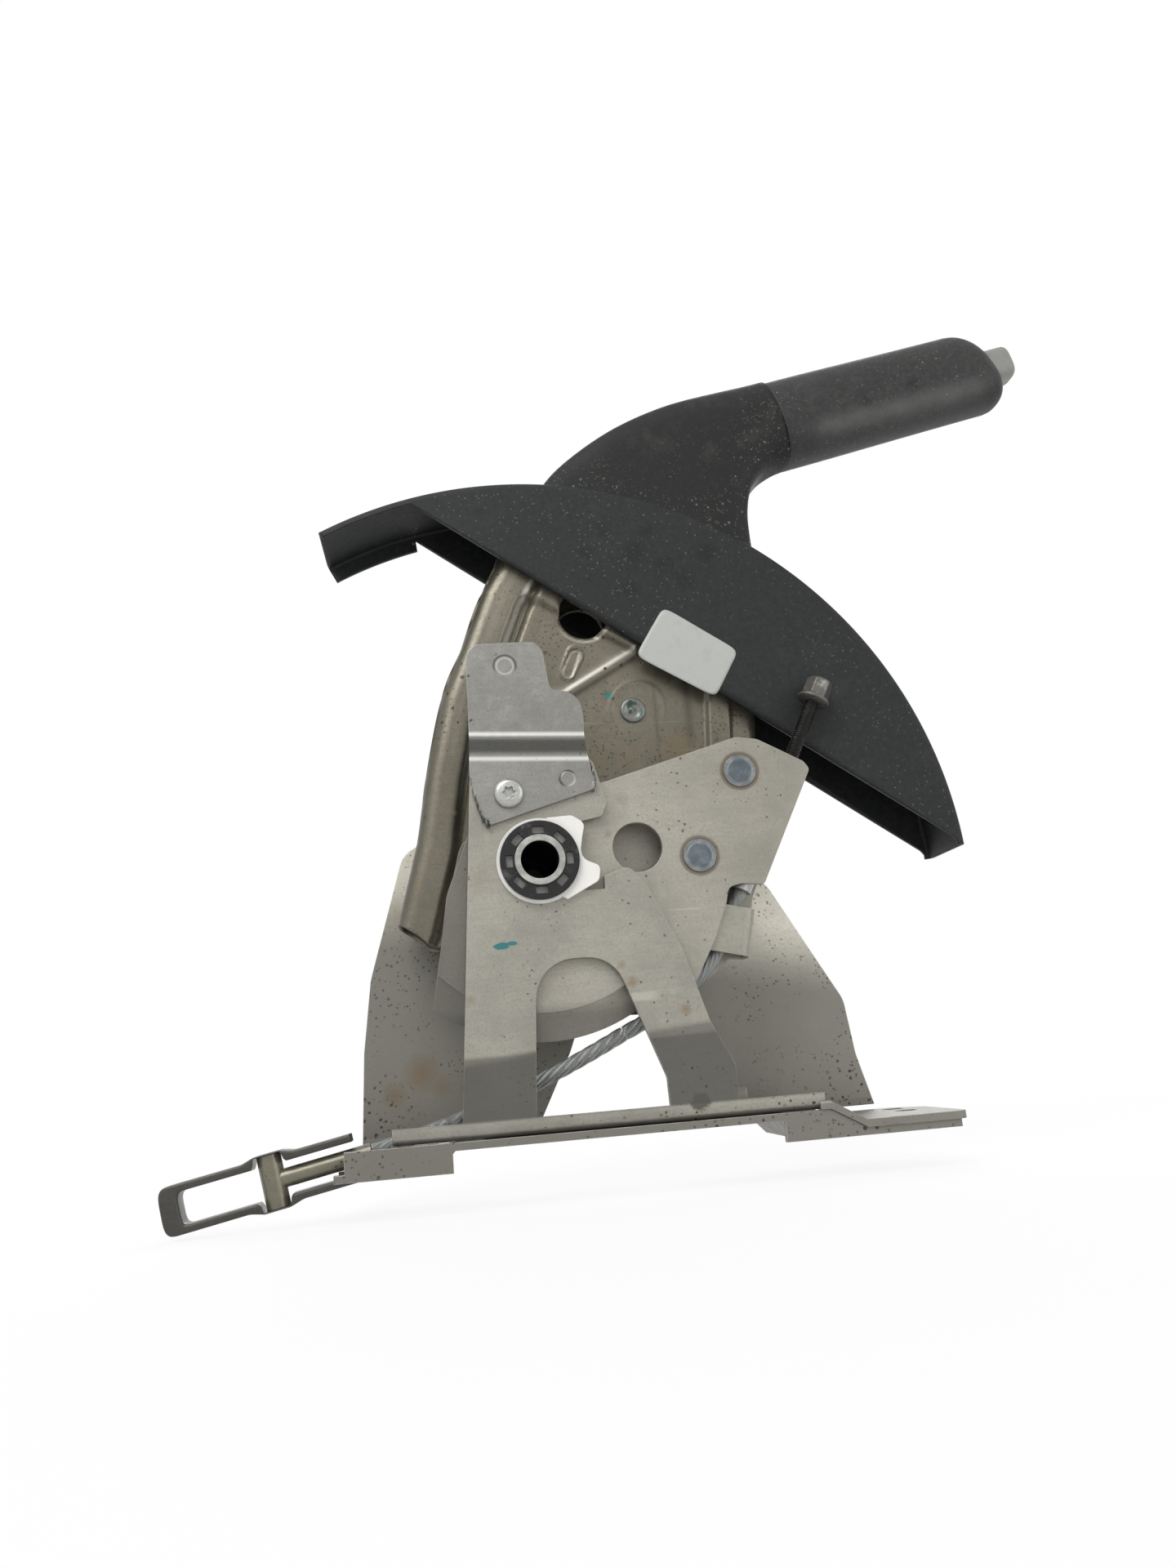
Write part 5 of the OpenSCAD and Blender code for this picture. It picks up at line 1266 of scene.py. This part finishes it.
class BRAKE_OT_solids(bpy.types.Operator):
    """Finishes of the CAD solids that stay in view"""
    bl_idname = "brake.solids"
    bl_label = "Finish the solids"

    own = {"front_bracket": "front_bracket", "rear_bracket": "rear_bracket",
           "sector_front_plate": "sector_plate", "sector_rear_plate": "sector_plate",
           "pivot_tube": "tube_steel", "adjuster_nut": "bright_zinc", "cable_end": "end_zinc"}

    def execute(self, context):
        """A node's own finish where it has one, otherwise the finish of its record slot"""
        slots = {part["node"]: part["material_slot"] for part in frame["record"]["subparts"]}
        for node, solid in frame["nodes"].items():
            finish = FINISHES[self.own.get(node, slots[node])]
            solid.data.materials.clear()
            solid.data.materials.append(finish)
        return {"FINISHED"}


# Stage

CAMERA_AT = np.array([-34.25, -502.0, -77.84])
CAMERA_AXES = np.array([[0.99155, -0.10138, -0.08100], [0.05544, -0.23343, 0.97079],
                        [-0.11732, -0.96707, -0.22584]])
FOCAL_PIXELS, IMAGE_LONG, SENSOR = 1450.0, 1920.0, 36.0


class BRAKE_OT_stage(bpy.types.Operator):
    """Pale floor, soft lamps, white surroundings and the camera"""
    bl_idname = "brake.stage"
    bl_label = "Stage"

    def execute(self, context):
        """Floor a millimetre under the CAD box, three lamps and the camera"""
        scene = context.scene
        scene.view_settings.view_transform = "Standard"
        self.world(scene)
        self.floor(CAD_BOX[0][2] - 0.001)
        self.lamp("key", (-0.55, -0.9, 1.15), (0.0, 0.0, 0.16), 0.9, 14.0)
        self.lamp("fill", (0.95, -0.8, 0.35), (0.0, 0.0, 0.15), 0.8, 3.0)
        self.lamp("back", (0.2, 0.9, 0.9), (0.0, 0.0, 0.2), 0.9, 9.0)
        self.camera(scene)
        return {"FINISHED"}

    def seen(self, tree):
        """1 on camera, glossy and transmission rays, 0 on the rays that only light a surface"""
        path = tree.nodes.new("ShaderNodeLightPath")
        level = path.outputs["Is Camera Ray"]
        for name in ("Is Glossy Ray", "Is Transmission Ray"):
            either = tree.nodes.new("ShaderNodeMath")
            either.operation = "MAXIMUM"
            tree.links.new(level, either.inputs[0])
            tree.links.new(path.outputs[name], either.inputs[1])
            level = either.outputs[0]
        return level

    def world(self, scene):
        """White where it is seen, straight or in a reflection, and dimmer as light on the object"""
        world = bpy.data.worlds.new("surroundings")
        scene.world = world
        world.use_nodes = True
        tree = world.node_tree
        back = next(n for n in tree.nodes if n.type == "BACKGROUND")
        back.inputs["Color"].default_value = (1.0, 1.0, 1.0, 1.0)
        level = tree.nodes.new("ShaderNodeMapRange")
        tree.links.new(self.seen(tree), level.inputs[0])
        level.inputs[3].default_value = 0.40
        level.inputs[4].default_value = 1.0
        tree.links.new(level.outputs[0], back.inputs["Strength"])

    def floor(self, z):
        """Large pale plane: mostly white of its own where it is seen, so that only a faint shadow shows"""
        mesh = bpy.data.meshes.new("floor")
        mesh.from_pydata([(-6, -6, z), (6, -6, z), (6, 6, z), (-6, 6, z)], [], [[0, 1, 2, 3]])
        floor = bpy.data.objects.new("floor", mesh)
        bpy.context.scene.collection.objects.link(floor)
        f = Finish("pale_floor")
        f.set(Base_Color=(0.86, 0.86, 0.86), Roughness=0.9)
        glow = f.node("ShaderNodeEmission", {"Color": (1.0, 1.0, 1.0)}).outputs[0]
        far = f.ramp(f.near((0.0, 0.0, z)), 0.30, 0.90, 0.90, 1.0)
        share = f.times(self.seen(f.tree), far)
        both = f.node("ShaderNodeMixShader", {0: share, 1: f.bsdf.outputs[0], 2: glow})
        f.put(f.out.inputs[0], both.outputs[0])
        mesh.materials.append(f.mat)

    def lamp(self, name, place_at, aim, size, power):
        """Square soft lamp turned to a point"""
        data = bpy.data.lights.new(name, "AREA")
        data.size = size
        data.energy = power
        lamp = bpy.data.objects.new(name, data)
        lamp.location = place_at
        lamp.rotation_euler = (Vector(aim) - Vector(place_at)).to_track_quat("-Z", "Y").to_euler()
        bpy.context.scene.collection.objects.link(lamp)

    def camera(self, scene):
        """Camera at the photograph's place: right, up and back axes found from its vanishing points"""
        data = bpy.data.cameras.new("view")
        data.sensor_width = SENSOR
        data.lens = FOCAL_PIXELS * SENSOR / IMAGE_LONG
        data.clip_start = 0.01
        camera = bpy.data.objects.new("view", data)
        turn = Matrix(CAMERA_AXES.T.tolist()).to_4x4()
        camera.matrix_world = Matrix.Translation(at(*CAMERA_AT)) @ turn
        scene.collection.objects.link(camera)
        scene.camera = camera


class BRAKE_PT_panel(bpy.types.Panel):
    """Lists the steps and what a user may change"""
    bl_idname = "BRAKE_PT_panel"
    bl_label = "Brake lever"
    bl_space_type = "VIEW_3D"
    bl_region_type = "UI"
    bl_category = "Brake lever"

    def draw(self, context):
        """One button per step, then every size and colour"""
        for step_class in STEPS:
            self.layout.operator(step_class.bl_idname)
        for group in (context.scene.brake_sizes, context.scene.brake_colours):
            for key in group.__annotations__:
                self.layout.prop(group, key)


STEPS = (BRAKE_OT_solids, BRAKE_OT_lever, BRAKE_OT_switch_plate, BRAKE_OT_cover, BRAKE_OT_grip,
         BRAKE_OT_cable, BRAKE_OT_link, BRAKE_OT_fasteners, BRAKE_OT_stage)
CLASSES = (BrakeSizes, BrakeColours, *STEPS, BRAKE_PT_panel)


def register():
    """Registers the classes and hangs both property groups on the scene"""
    for cls in CLASSES:
        bpy.utils.register_class(cls)
    bpy.types.Scene.brake_sizes = PointerProperty(type=BrakeSizes)
    bpy.types.Scene.brake_colours = PointerProperty(type=BrakeColours)


def unregister():
    """Undoes register in the reverse order"""
    del bpy.types.Scene.brake_colours
    del bpy.types.Scene.brake_sizes
    for cls in reversed(CLASSES):
        bpy.utils.unregister_class(cls)


def main():
    """Builds the dressed model"""
    register()
    make_finishes(bpy.context.scene.brake_colours)
    bpy.ops.brake.solids()
    bpy.ops.brake.lever()
    bpy.ops.brake.switch_plate()
    bpy.ops.brake.cover()
    bpy.ops.brake.grip()
    bpy.ops.brake.cable()
    bpy.ops.brake.link()
    bpy.ops.brake.fasteners()
    bpy.ops.brake.stage()
    bpy.context.view_layer.update()


if __name__ == "__main__":
    main()
